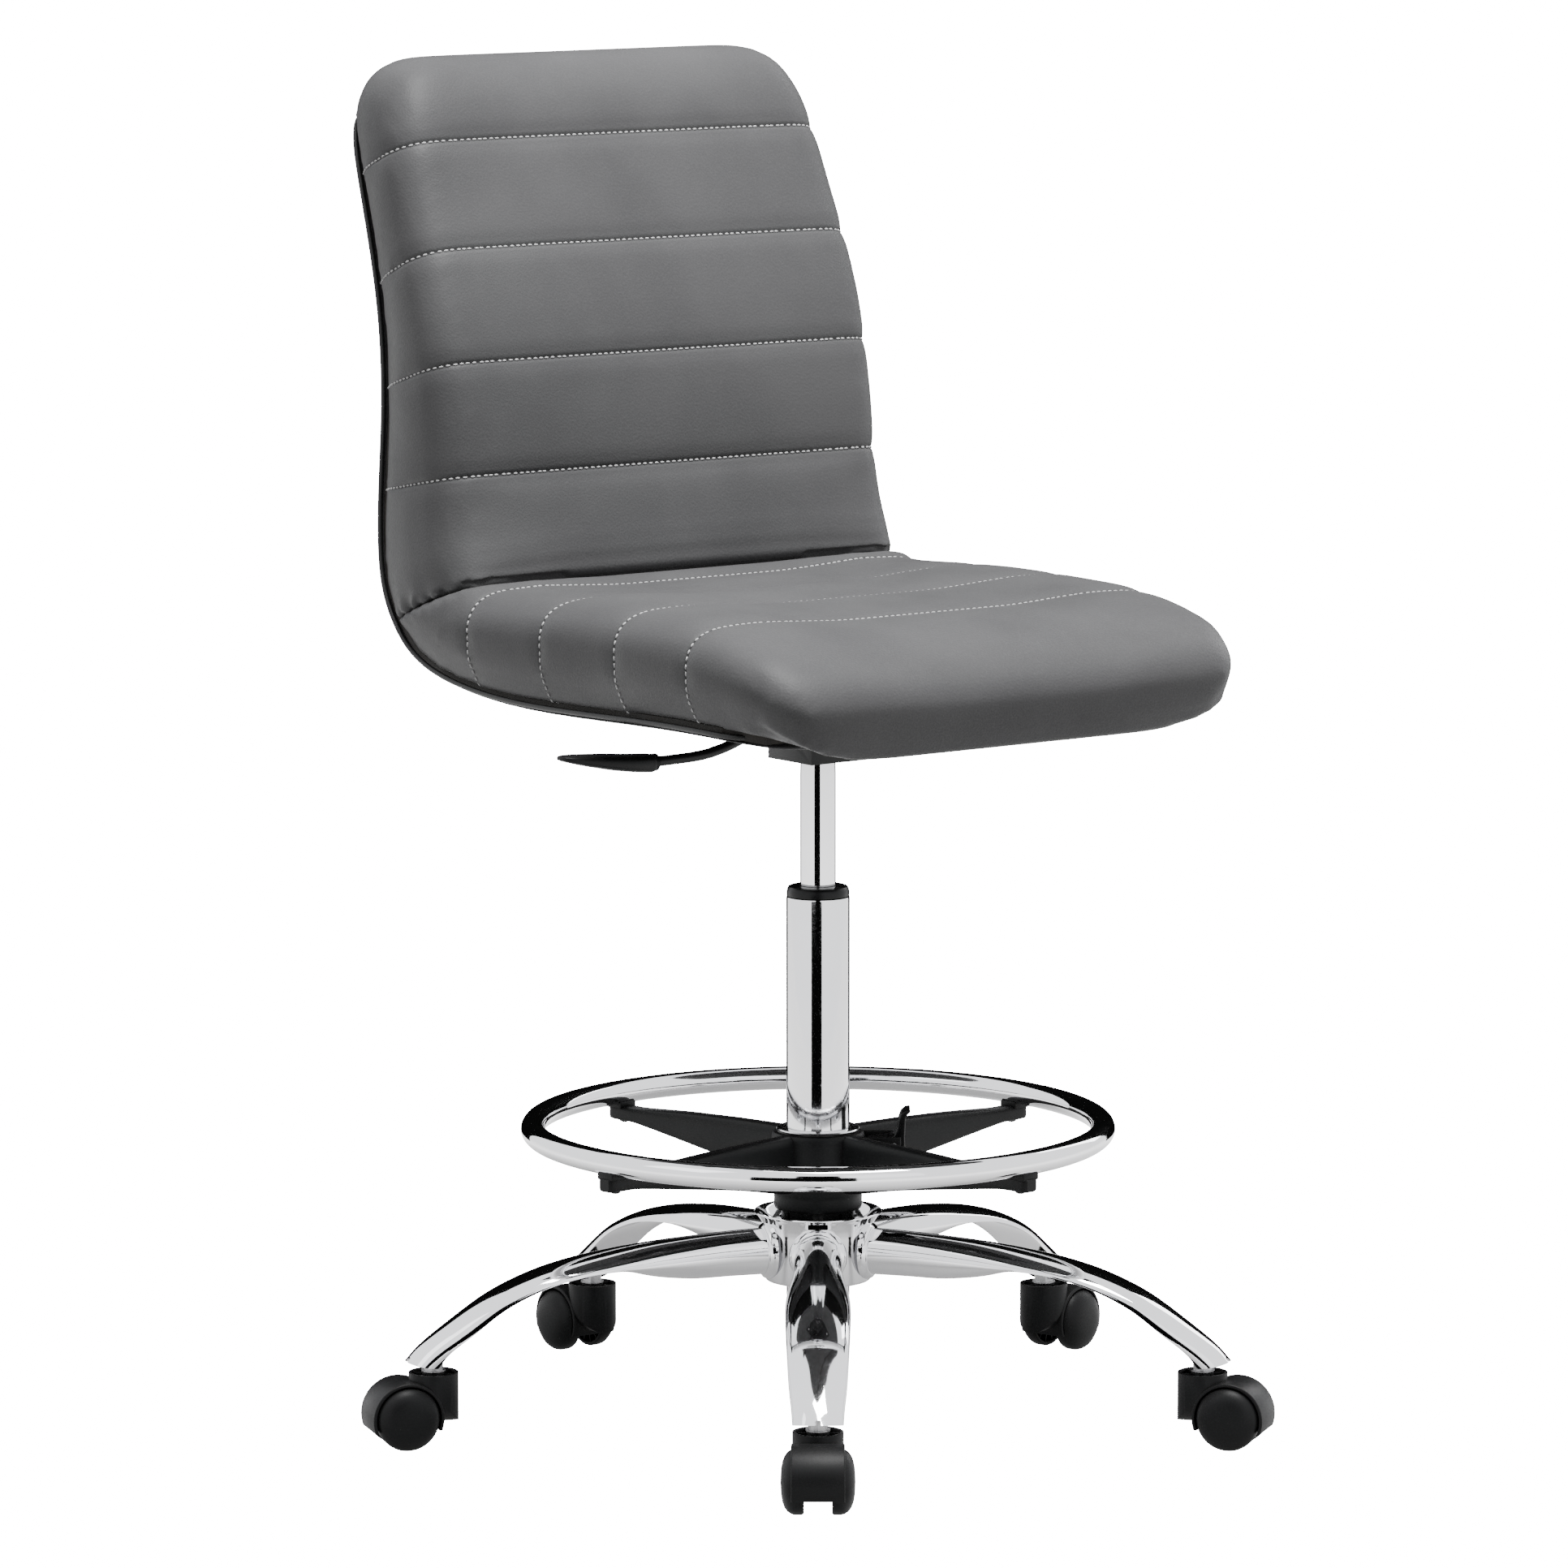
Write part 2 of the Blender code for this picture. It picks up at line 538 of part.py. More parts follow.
def make_lever():
    """Height lever: bent rod on the pivot pin with a flat moulded paddle."""
    lever = add_empty("lever_axis", root, Matrix.Translation(LEVER_PIVOT))
    reach = ((0.005, 0.558), (-0.045, 0.558), (-0.058, 0.5555), (-0.080, 0.5465),
             (-0.100, 0.5410), (-0.122, 0.5382), (-0.170, 0.5372))
    points = [Vector((x, 0.0, z)) - LEVER_PIVOT for x, z in reach]
    rod = tube("lever_rod", points, LEVER_ROD_RADIUS, "black_steel", lever, sides=2)
    across = Matrix.Translation(LEVER_PIVOT) @ Matrix.Rotation(math.radians(90), 4, "X")
    cut(rod, cutter_object("rod_bore", cylinder_mesh("rod_bore", 0.0023, -0.02, 0.02, 12, across)))
    # Stations along the paddle: outward, height, half width, half thickness.
    stations = ((0.163, 0.5372, 0.0090, 0.0062), (0.168, 0.5373, 0.0105, 0.0070),
                (0.184, 0.5386, 0.0130, 0.0068), (0.204, 0.5410, 0.0140, 0.0062),
                (0.225, 0.5438, 0.0130, 0.0046), (0.241, 0.5462, 0.0100, 0.0030),
                (0.249, 0.5472, 0.0055, 0.0016))
    loops = []
    for out, height, half_width, half_depth in stations:
        loops.append([Vector((-out, half_width * superellipse(math.cos(a)),
                              height + half_depth * superellipse(math.sin(a)))) - LEVER_PIVOT
                      for a in (2.0 * math.pi * k / 12 for k in range(12))])
    paddle = loft("lever_paddle", loops, "black_plastic", lever)
    along = Matrix.Translation((0.0, 0.0, 0.5372)) @ Matrix.Rotation(math.radians(90), 4, "Y")
    bore = cylinder_mesh("paddle_bore", LEVER_ROD_RADIUS + GAP, -0.1703, -0.14, 12, along)
    cut(paddle, cutter_object("paddle_bore", bore))


def superellipse(value, power=0.7):
    """Square up a cosine or sine while keeping its sign."""
    return math.copysign(abs(value) ** power, value)


# ---- upholstered shell -------------------------------------------------------------------
def to_room(forward, height, across=0.0):
    """Side-view coordinates to the chair's frame."""
    return Vector((across, -forward, height))


def padding_loop(station, outline, base_share):
    """Section of a cushion: flat on the shell, bulged at its sides, with the outline's face."""
    base, face, half_width = Vector(station[0]), Vector(station[1]), station[2]
    depth = face - base
    outline = ((base_share, 0.0), (0.5 + 0.5 * base_share, 0.14)) + outline
    half = [(half_width * across, base + depth * level) for across, level in outline]
    left = [(-across, place) for across, place in reversed(half)]
    return [to_room(place.x, place.y, across) for across, place in half + left]


def make_cushions():
    """Back and seat cushions, one padded solid each, parted along the crease."""
    back = [padding_loop(station, BACK_OUTLINE, BASE_SHARE) for station in BACK_STATIONS]
    shares = [BASE_SHARE] * (len(SEAT_STATIONS) - len(NOSE_SHARES)) + list(NOSE_SHARES)
    seat = [padding_loop(station, SEAT_OUTLINE, share)
            for station, share in zip(SEAT_STATIONS, shares)]
    loft("back_cushion", back, "leatherette", root)
    loft("seat_cushion", seat, "leatherette", root)


def shell_line():
    """Points of the shell line from the back's top to the seat's front, with half widths."""
    back = [(Vector(base), width) for base, _, width in BACK_STATIONS[BACK_SHELL_FIRST:-1]]
    seat = [(Vector(base), width) for base, _, width in SEAT_STATIONS[:SEAT_SHELL_LAST]]
    return back + seat


def shell_normals(points):
    """Unit vectors that point from the sitter's side through the shell at each point."""
    normals = []
    for i in range(len(points)):
        ahead = points[min(i + 1, len(points) - 1)]
        behind = points[max(i - 1, 0)]
        along = (ahead - behind).normalized()
        normals.append(Vector((along.y, -along.x)))
    return normals


def rounded_width(width, travelled):
    """Half width near an end of the shell, drawn in to give a round corner."""
    short = max(0.0, SHELL_CORNER - travelled)
    return width - SHELL_CORNER + math.sqrt(SHELL_CORNER ** 2 - short ** 2)


def shell_sections(inset):
    """Side-view point, outward vector and half width at each station of the shell."""
    line = shell_line()
    points = [point for point, _ in line]
    normals = shell_normals(points)
    lengths = [0.0]
    for near, far in zip(points, points[1:]):
        lengths.append(lengths[-1] + (far - near).length)
    total = lengths[-1]
    sections = []
    for (point, width), normal, run in zip(line, normals, lengths):
        travelled = min(run, total - run) + 0.35 * SHELL_CORNER
        sections.append((point, normal, rounded_width(width - inset, travelled)))
    return sections


def make_seat_shell():
    """Bent plywood board under the padding, from an open strip with thickness."""
    shape = bmesh.new()
    rows = []
    for point, normal, width in shell_sections(BOARD_INSET):
        place = point + normal * PLY_FRONT
        rows.append([shape.verts.new(to_room(place.x, place.y, side * width))
                     for side in (-1.0, 1.0)])
    for near, far in zip(rows, rows[1:]):
        shape.faces.new((near[0], near[1], far[1], far[0]))
    mesh = bpy.data.meshes.new("seat_shell")
    shape.to_mesh(mesh)
    shape.free()
    board = add_object("seat_shell", mesh, "plywood", root)
    solidify = board.modifiers.new("Thickness", "SOLIDIFY")
    solidify.thickness = PLY_THICKNESS
    solidify.offset = 1.0  # all of it behind the open strip
    solidify.use_even_offset = True
    for name, y, low in STUD_STRIPS:
        groove = box_mesh(f"{name}_groove", (-0.0654, y - 0.0044, 0.55),
                          (0.0654, y + 0.0044, low + STRIP_DEPTH + GAP))
        cut(board, cutter_object(f"{name}_groove", groove))


def make_rear_cover():
    """Upholstered cover behind and under the plywood, thickest along its middle."""
    fractions = (-1.0, -0.92, -0.66, -0.33, 0.0, 0.33, 0.66, 0.92, 1.0)
    loops = []
    for point, normal, width in shell_sections(COVER_INSET):
        low, high = LEVEL_SEAT_Z
        under_seat = min(1.0, max(0.0, (high - point.y) / (high - low)))
        crown = BACK_CROWN + (SEAT_CROWN - BACK_CROWN) * under_seat
        inner = point + normal * COVER_FRONT
        loop = [to_room(inner.x, inner.y, width * 0.97 * side) for side in (1.0, -1.0)]
        for fraction in fractions:
            rim = 0.35 if abs(fraction) == 1.0 else 1.0
            depth = COVER_EDGE * rim + crown * (1.0 - fraction ** 2)
            outer = inner + normal * depth
            loop.append(to_room(outer.x, outer.y, width * fraction))
        loops.append(loop)
    cover = loft("rear_cover", loops, "leatherette", root)
    window = box_mesh("cover_window", (-0.070, -0.0130, 0.53), (0.032, 0.0130, 0.5795))
    cut(cover, cutter_object("cover_window", window))
    for n, place in enumerate(stud_places()):
        hole = cylinder_mesh(f"cover_hole_{n}", 0.0036, 0.54, 0.60, 12, place)
        cut(cover, cutter_object(f"cover_hole_{n}", hole))


def make_edge_piping():
    """Black piping cord that runs all round the plywood's edge."""
    sections = shell_sections(PIPING_INSET)
    places = [(point + normal * PIPING_DEPTH, width)
              for point, normal, width in sections]
    for end, inner in ((0, 1), (-1, -2)):
        outward = (places[end][0] - places[inner][0]).normalized()
        places[end] = (places[end][0] + outward * PIPING_REACH, places[end][1])
    right = [to_room(place.x, place.y, -width) for place, width in places]
    left = [to_room(place.x, place.y, width) for place, width in reversed(places)]
    tube("edge_piping", right + left, 0.0020, "rubber", root, cyclic=True, sides=1)


# ---- foot ring ---------------------------------------------------------------------------
def make_foot_ring():
    """The bent tube that the feet rest on."""
    bpy.ops.mesh.primitive_torus_add(major_radius=RING_RADIUS, minor_radius=RING_TUBE_RADIUS,
                                     major_segments=48, minor_segments=10,
                                     location=(0.0, 0.0, 0.0))
    torus = bpy.context.active_object
    mesh = torus.data
    bpy.data.objects.remove(torus, do_unlink=True)
    mesh.shade_smooth()
    add_object("foot_ring", mesh, "chrome", root, Matrix.Translation((0.0, 0.0, RING_Z)))


def make_ring_sleeve():
    """Clamping sleeve between the hub and the column, slotted into fingers at its foot."""
    profile = ((0.0320, 0.2345), (0.0330, 0.2335), (0.0330, 0.2318), (0.0290, 0.2318),
               (0.0290, 0.1503), (0.0256, 0.1503), (0.0256, 0.2345))
    sleeve = turned("ring_sleeve", profile, "black_plastic", root, ring=True)
    for name, x, y in (("sleeve_slot_along", 0.04, 0.0015), ("sleeve_slot_across", 0.0015, 0.04)):
        slot = box_mesh(name, (-x, -y, 0.140), (x, y, 0.168))
        cut(sleeve, cutter_object(name, slot))


def spoke_mesh(name):
    """One spoke of the hub along +X: deep at the hub, shallow under the ring."""
    # Stations along the spoke: radius, bottom, top, half width.
    stations = ((0.0300, 0.1860, 0.2310, 0.0090), (0.0900, 0.1950, 0.2300, 0.0085),
                (0.1500, 0.2030, 0.2270, 0.0080), (0.2000, 0.2110, 0.2240, 0.0080),
                (0.2250, 0.2120, 0.2240, 0.0080), (SPOKE_END_RADIUS, 0.2125, 0.2235, 0.0050))
    shape = bmesh.new()
    rings = []
    for radius, bottom, top, half in stations:
        corners = ((half, bottom), (half, top), (-half, top), (-half, bottom))
        rings.append([shape.verts.new((radius, y, z)) for y, z in corners])
    for near, far in zip(rings, rings[1:]):
        for i in range(4):
            j = (i + 1) % 4
            shape.faces.new((near[i], near[j], far[j], far[i]))
    shape.faces.new(list(reversed(rings[0])))
    shape.faces.new(rings[-1])
    return bmesh_to_mesh(name, shape)


def make_ring_hub():
    """Moulded hub with four spokes that carry the ring from below."""
    profile = ((0.0350, 0.2315), (0.0360, 0.2300), (0.0360, 0.1850), (0.0345, 0.1820),
               (0.0345, 0.1715), (0.0335, 0.1700), (0.0294, 0.1700), (0.0294, 0.2315))
    hub = turned("ring_hub", profile, "black_plastic", root, ring=True)
    spoke = spoke_mesh("spoke")
    for n in range(SPOKE_COUNT):
        turn = heading(SPOKE_FIRST_DEG + n * 360.0 / SPOKE_COUNT)
        cut(hub, cutter_object(f"spoke_{n + 1}", spoke, turn), operation="UNION")
    lock = heading(LOCK_DEG)
    for n, side in enumerate((-1.0, 1.0)):
        near, far = sorted((side * 0.0133, side * 0.0163))
        lug = box_mesh(f"lock_lug_{n}", (0.0300, near, 0.206), (LOCK_PIVOT.x + 0.005, far, 0.228))
        cut(hub, cutter_object(f"lock_lug_{n}", lug, lock), operation="UNION")
    bore = cylinder_mesh("ring_hub_bore", 0.0294, 0.16, 0.24, 28)
    cut(hub, cutter_object("ring_hub_bore", bore))
    across = lock @ Matrix.Translation(LOCK_PIVOT) @ Matrix.Rotation(math.radians(90), 4, "X")
    pin_bore = cylinder_mesh("lock_pin_bore", 0.0024, -0.02, 0.02, 12, across)
    cut(hub, cutter_object("lock_pin_bore", pin_bore))


def make_lock_lever():
    """Cam lever on its pin between two lugs; its paddle stands up and curls outward."""
    hinge = add_empty("lock_axis", root, heading(LOCK_DEG) @ Matrix.Translation(LOCK_PIVOT))
    # Outline in the lever's own plane, from the pivot: outward, up.
    outline = ((-0.0220, -0.0030), (-0.0215, 0.0030), (-0.0060, 0.0052), (0.0020, 0.0072),
               (0.0042, 0.0220), (0.0075, 0.0262), (0.0120, 0.0275), (0.0128, 0.0250),
               (0.0098, 0.0225), (0.0085, 0.0190), (0.0078, -0.0020), (0.0100, -0.0130),
               (0.0065, -0.0135), (0.0020, -0.0052), (-0.0060, -0.0050))
    upright = Matrix.Rotation(math.radians(90), 4, "X")
    pin = cylinder_mesh("lock_lever_pin", 0.0020, -0.0170, 0.0170, 12)
    add_object("lock_lever_pin", pin, "steel", hinge, upright)
    lever = plan_plate("lock_lever", outline, -0.0125, 0.0125, "black_plastic", hinge, upright)
    place = heading(LOCK_DEG) @ Matrix.Translation(LOCK_PIVOT) @ upright
    bore = cylinder_mesh("lock_lever_bore", 0.0023, -0.02, 0.02, 12, place)
    cut(lever, cutter_object("lock_lever_bore", bore))


def build_chair():
    """Make every sub-part."""
    make_base_hub()
    make_arms()
    make_caster_stems()
    make_casters()
    make_column()
    make_gas_lift()
    make_mechanism()
    make_stud_strips()
    make_lever()
    make_cushions()
    make_seat_shell()
    make_rear_cover()
    make_edge_piping()
    make_foot_ring()
    make_ring_sleeve()
    make_ring_hub()
    make_lock_lever()


clear_scene()
parts = new_collection("drafting_chair")
cutters = new_collection("cutters")
root = add_empty("chair_root", None, Matrix.Translation(CENTRE_OFFSET))
build_chair()
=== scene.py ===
"""Looks of a drafting chair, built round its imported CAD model.

Metres, +Z up, in the row frame. The chair faces -Y and +X is its left-hand side. Most pieces
are shaped about the column axis, whose place comes from the column tube's box.
"""

import json
import logging
import math
from dataclasses import dataclass
from enum import Enum
from typing import Callable, Sequence

import bmesh
import bpy
import numpy as np
from mathutils import Matrix, Vector
from mathutils.bvhtree import BVHTree


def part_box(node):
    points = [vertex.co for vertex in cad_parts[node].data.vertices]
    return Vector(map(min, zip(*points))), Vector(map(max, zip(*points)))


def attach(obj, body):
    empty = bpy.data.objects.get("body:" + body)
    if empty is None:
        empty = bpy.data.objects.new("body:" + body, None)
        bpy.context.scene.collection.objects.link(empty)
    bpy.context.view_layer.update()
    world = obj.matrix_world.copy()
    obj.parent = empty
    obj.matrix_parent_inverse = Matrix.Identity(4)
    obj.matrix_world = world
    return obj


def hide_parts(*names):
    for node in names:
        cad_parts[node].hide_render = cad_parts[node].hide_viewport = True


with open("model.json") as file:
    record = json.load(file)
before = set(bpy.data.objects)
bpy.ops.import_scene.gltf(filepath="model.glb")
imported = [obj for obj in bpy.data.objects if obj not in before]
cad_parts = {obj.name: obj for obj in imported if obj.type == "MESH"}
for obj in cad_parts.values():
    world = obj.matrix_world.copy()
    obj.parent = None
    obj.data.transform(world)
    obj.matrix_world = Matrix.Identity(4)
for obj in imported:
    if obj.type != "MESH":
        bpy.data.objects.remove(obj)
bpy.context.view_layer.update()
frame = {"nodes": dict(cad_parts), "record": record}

logging.basicConfig(level=logging.INFO, format="%(message)s")
log = logging.getLogger("chair")

Point = Sequence[float]
Object = bpy.types.Object
Material = bpy.types.Material

TURN = 2.0 * math.pi
ARM_COUNT = 5
FIRST_ARM_DEG = -127.6          # heading of base arm 1, counted from +X
FINE = 96                       # steps of a large turned piece
SMOOTH_DEG = 32.0


class Slot(Enum):
    """Material slots of the record."""

    CHROME = "chrome"
    STEEL = "steel"
    BLACK_STEEL = "black_steel"
    NYLON = "black_plastic"
    RUBBER = "rubber"
    LEATHERETTE = "leatherette"
    PLYWOOD = "plywood"


def middle(node: str) -> Vector:
    """Return the middle of a CAD node's box."""
    low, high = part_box(node)
    return (low + high) / 2.0


AXIS = Vector((middle("column_tube").x, middle("column_tube").y, 0.0))


def heading(degrees: float, radius: float = 0.0, height: float = 0.0) -> Matrix:
    """Place a piece at a heading round the column axis.

    Args:
        degrees: Heading, counted from +X.
        radius: Distance out from the column axis.
        height: Height above the floor.

    Returns:
        The matrix that carries the piece's own frame to the room.
    """
    turn = Matrix.Rotation(math.radians(degrees), 4, "Z")
    return Matrix.Translation(AXIS) @ turn @ Matrix.Translation((radius, 0.0, height))


# ---- modelling helpers -------------------------------------------------------------------
def clear_selection() -> None:
    """Leave edit mode and deselect everything."""
    if bpy.context.object and bpy.context.object.mode != "OBJECT":
        bpy.ops.object.mode_set(mode="OBJECT")
    bpy.ops.object.select_all(action="DESELECT")


def select_only(obj: Object) -> Object:
    """Make one object the only selected and active one."""
    clear_selection()
    obj.select_set(True)
    bpy.context.view_layer.objects.active = obj
    return obj


def named(name: str) -> Object:
    """Give the active object, and its mesh, a name."""
    obj = bpy.context.object
    obj.name = obj.data.name = name
    return obj


def settle(obj: Object) -> Object:
    """Move an object's place, turn and scale into its mesh."""
    obj.data.transform(obj.matrix_basis)
    obj.matrix_basis = Matrix.Identity(4)
    return obj


def apply_modifier(obj: Object, kind: str, **values: object) -> Object:
    """Add one modifier to an object and apply it.

    Args:
        obj: The object.
        kind: Blender's name of the modifier type.
        **values: Settings of the modifier.

    Returns:
        The same object.
    """
    select_only(obj)
    modifier = obj.modifiers.new(kind.title(), kind)
    for key, value in values.items():
        setattr(modifier, key, value)
    bpy.ops.object.modifier_apply(modifier=modifier.name)
    return obj


def soften(obj: Object, width: float, segments: int = 2, degrees: float = 40.0) -> Object:
    """Round the sharp edges of a piece."""
    return apply_modifier(obj, "BEVEL", width=width, segments=segments, limit_method="ANGLE",
                          angle_limit=math.radians(degrees), harden_normals=False)


def smooth(obj: Object, degrees: float = SMOOTH_DEG) -> Object:
    """Shade smooth, with sharp edges where faces meet at more than an angle."""
    select_only(obj)
    bpy.ops.object.shade_smooth_by_angle(angle=math.radians(degrees))
    return obj


def merge_and_orient(distance: float = 0.00001) -> None:
    """Merge doubles of the mesh in edit mode and face it outwards."""
    bpy.ops.mesh.select_all(action="SELECT")
    bpy.ops.mesh.remove_doubles(threshold=distance)
    bpy.ops.mesh.normals_make_consistent(inside=False)


def edit_all(obj: Object, operator: Callable, **values: object) -> Object:
    """Run one mesh operator on every face of a piece.

    Args:
        obj: The piece.
        operator: An operator of bpy.ops.mesh or bpy.ops.transform.
        **values: Settings of the operator.

    Returns:
        The same piece, back in object mode.
    """
    select_only(obj)
    bpy.ops.object.mode_set(mode="EDIT")
    bpy.ops.mesh.select_all(action="SELECT")
    operator(**values)
    bpy.ops.object.mode_set(mode="OBJECT")
    return obj


def discard(*pieces: Object) -> None:
    """Remove patterns and tools that have done their work."""
    for piece in pieces:
        bpy.data.objects.remove(piece, do_unlink=True)


def stand(obj: Object) -> Object:
    """Carry a piece from the origin to the column axis."""
    obj.data.transform(Matrix.Translation(AXIS))
    return obj


def boolean(obj: Object, tool: Object, operation: str = "DIFFERENCE") -> Object:
    """Cut a tool out of a piece, or join it on, and remove the tool."""
    apply_modifier(obj, "BOOLEAN", operation=operation, solver="EXACT", object=tool)
    discard(tool)
    return obj


def turned(name: str, profile: Sequence[Point], steps: int = FINE, closed: bool = True,
           bevel: float = 0.0) -> Object:
    """Turn a profile about Z, drawn point by point and spun.

    Args:
        name: Name of the piece.
        profile: Points as (radius, height).
        steps: Steps of the full turn.
        closed: Whether the profile comes back to its first point.
        bevel: Width of the rounding on sharp edges.

    Returns:
        The piece, standing on the origin's axis.
    """
    clear_selection()
    bpy.ops.mesh.primitive_plane_add(size=0.01)
    obj = named(name)
    bpy.ops.object.mode_set(mode="EDIT")
    bpy.ops.mesh.select_all(action="SELECT")
    bpy.ops.mesh.merge(type="CENTER")
    points = [Vector((radius, 0.0, height)) for radius, height in profile]
    if closed:
        points.append(points[0])
    bpy.ops.transform.translate(value=points[0])
    for here, ahead in zip(points, points[1:]):
        bpy.ops.mesh.extrude_region_move(TRANSFORM_OT_translate={"value": ahead - here})
    bpy.ops.mesh.select_all(action="SELECT")
    bpy.ops.mesh.spin(steps=steps, angle=TURN, center=(0, 0, 0), axis=(0, 0, 1))
    merge_and_orient()
    bpy.ops.object.mode_set(mode="OBJECT")
    if bevel:
        soften(obj, bevel)
    return smooth(obj)


def loft(name: str, rings: Sequence[Sequence[Vector]]) -> Object:
    """Skin equal closed rings by extruding one ring into the next.

    Args:
        name: Name of the piece.
        rings: Closed rings, each with the same number of points.

    Returns:
        The closed piece.
    """
    clear_selection()
    bpy.ops.mesh.primitive_circle_add(vertices=len(rings[0]), radius=0.01, fill_type="NGON")
    obj = named(name)
    first = [vertex.co.copy() for vertex in obj.data.vertices]
    bpy.ops.object.mode_set(mode="EDIT")
    bpy.ops.mesh.select_all(action="SELECT")
    move_ring(obj, first, rings[0])
    for here, ahead in zip(rings, rings[1:]):
        bpy.ops.mesh.extrude_region_move(TRANSFORM_OT_translate={"value": (0.0, 0.0, 0.0)})
        move_ring(obj, here, ahead)
    merge_and_orient(0.000001)
    bpy.ops.object.mode_set(mode="OBJECT")
    return smooth(obj)


def move_ring(obj: Object, here: Sequence[Vector], ahead: Sequence[Vector]) -> None:
    """Move the selected ring of vertices from one ring's places to the next one's."""
    shape = bmesh.from_edit_mesh(obj.data)
    picked = [vertex for vertex in shape.verts if vertex.select]
    places = np.array([tuple(point) for point in here])
    for vertex in picked:
        gaps = np.linalg.norm(places - np.array(vertex.co), axis=1)
        vertex.co = ahead[int(gaps.argmin())]
    bmesh.update_edit_mesh(obj.data)


def block(name: str, low: Point, high: Point, bevel: float = 0.0, segments: int = 2) -> Object:
    """A box between two corners with rounded edges."""
    clear_selection()
    low, high = Vector(low), Vector(high)
    bpy.ops.mesh.primitive_cube_add(size=1.0, location=(low + high) / 2.0, scale=high - low)
    obj = settle(named(name))
    return soften(obj, bevel, segments) if bevel else obj


def rod(name: str, radius: float, low: float, high: float, sides: int = 48,
        matrix: Matrix | None = None) -> Object:
    """A cylinder about Z from low to high, then placed by a matrix."""
    clear_selection()
    bpy.ops.mesh.primitive_cylinder_add(vertices=sides, radius=radius, depth=high - low,
                                        location=(0.0, 0.0, (low + high) / 2.0))
    obj = settle(named(name))
    if matrix:
        obj.data.transform(matrix)
    return obj


def rib_row(count: int, low: Point, high: Point, first: float = 0.0) -> list[Object]:
    """Copies of a thin block, spaced round Z from a share of the spacing on."""
    ribs = []
    for n in range(count):
        rib = block(f"rib_{n}", low, high, 0.0002)
        rib.data.transform(Matrix.Rotation(TURN * (n + first) / count, 4, "Z"))
        ribs.append(rib)
    return ribs


def joined(name: str, pieces: Sequence[Object]) -> Object:
    """Join separate shells into one piece."""
    clear_selection()
    for piece in pieces:
        piece.select_set(True)
    bpy.context.view_layer.objects.active = pieces[0]
    bpy.ops.object.join()
    return named(name)


def copy_at(pattern: Object, name: str, matrix: Matrix) -> Object:
    """Copy a piece with its own mesh and place the mesh."""
    copied = pattern.copy()
    copied.data = pattern.data.copy()
    copied.name = copied.data.name = name
    bpy.context.scene.collection.objects.link(copied)
    copied.data.transform(matrix)
    return copied


def node_copy(node: str, name: str) -> Object:
    """Copy a CAD node's mesh to a new piece, with its loose triangles merged."""
    source = frame["nodes"][node]
    copied = bpy.data.objects.new(name, source.data.copy())
    bpy.context.scene.collection.objects.link(copied)
    copied.data.materials.clear()
    return edit_all(copied, bpy.ops.mesh.remove_doubles, threshold=0.00001)


def dress(obj: Object, material: Material, body: str, slot: Slot, *nodes: str) -> Object:
    """Give a piece its material and body, and hide the CAD nodes it stands for."""
    obj.data.materials.clear()
    obj.data.materials.append(material)
    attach(obj, body)
    if nodes:
        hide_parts(*nodes)
    return obj


def through(stations: Sequence[Sequence[float]], steps: int) -> list[list[float]]:
    """Run a smooth curve through rows of values.

    Args:
        stations: Rows of values, in order.
        steps: Rows to make between two stations.

    Returns:
        The denser rows, with every station kept.
    """
    rows = np.array(stations, float)
    padded = np.vstack([2 * rows[0] - rows[1], rows, 2 * rows[-1] - rows[-2]])
    dense = []
    for a, b, c, d in zip(padded, padded[1:], padded[2:], padded[3:]):
        for t in np.arange(steps) / steps:
            dense.append(0.5 * ((2 * b) + (c - a) * t + (2 * a - 5 * b + 4 * c - d) * t ** 2
                                + (3 * b - a - 3 * c + d) * t ** 3))
    dense.append(rows[-1])
    return [list(row) for row in dense]


# ---- finishes --------------------------------------------------------------------------
class Tree:
    """Short calls for building one node tree."""

    def __init__(self, tree: bpy.types.NodeTree) -> None:
        """Keep the tree."""
        self.tree = tree

    def add(self, kind: str, inputs: dict[str, object] | None = None, **settings: object):
        """Add a node.

        Args:
            kind: The node's type, without its ShaderNode prefix.
            inputs: Values or sockets by input name.
            **settings: Settings of the node.

        Returns:
            The node.
        """
        node = self.tree.nodes.new(f"ShaderNode{kind}")
        for key, value in settings.items():
            setattr(node, key, value)
        for key, value in (inputs or {}).items():
            if isinstance(value, bpy.types.NodeSocket):
                self.tree.links.new(value, node.inputs[key])
            else:
                node.inputs[key].default_value = value
        return node

    def blend(self, factor, low: Point, high: Point):
        """Mix two colours by a varying factor and return the colour."""
        node = self.add("Mix", data_type="RGBA")
        self.tree.links.new(factor, node.inputs[0])
        node.inputs[6].default_value = (*low, 1.0)
        node.inputs[7].default_value = (*high, 1.0)
        return node.outputs[2]

    def over(self, share, colour, top: Point):
        """Lay a plain colour over a varying one by a varying share and return the colour."""
        node = self.add("Mix", data_type="RGBA")
        self.tree.links.new(share, node.inputs[0])
        self.tree.links.new(colour, node.inputs[6])
        node.inputs[7].default_value = (*top, 1.0)
        return node.outputs[2]

    def ranged(self, value, low: float, high: float, start: float = 0.0, end: float = 1.0):
        """Map a varying value from start..end to low..high."""
        return self.add("MapRange", {"Value": value, "From Min": start, "From Max": end,
                                     "To Min": low, "To Max": high}).outputs["Result"]

    def sum_of(self, first, second, weight: float):
        """Add a weighted second value to the first."""
        return self.add("Math", {0: second, 1: weight, 2: first},
                        operation="MULTIPLY_ADD").outputs[0]


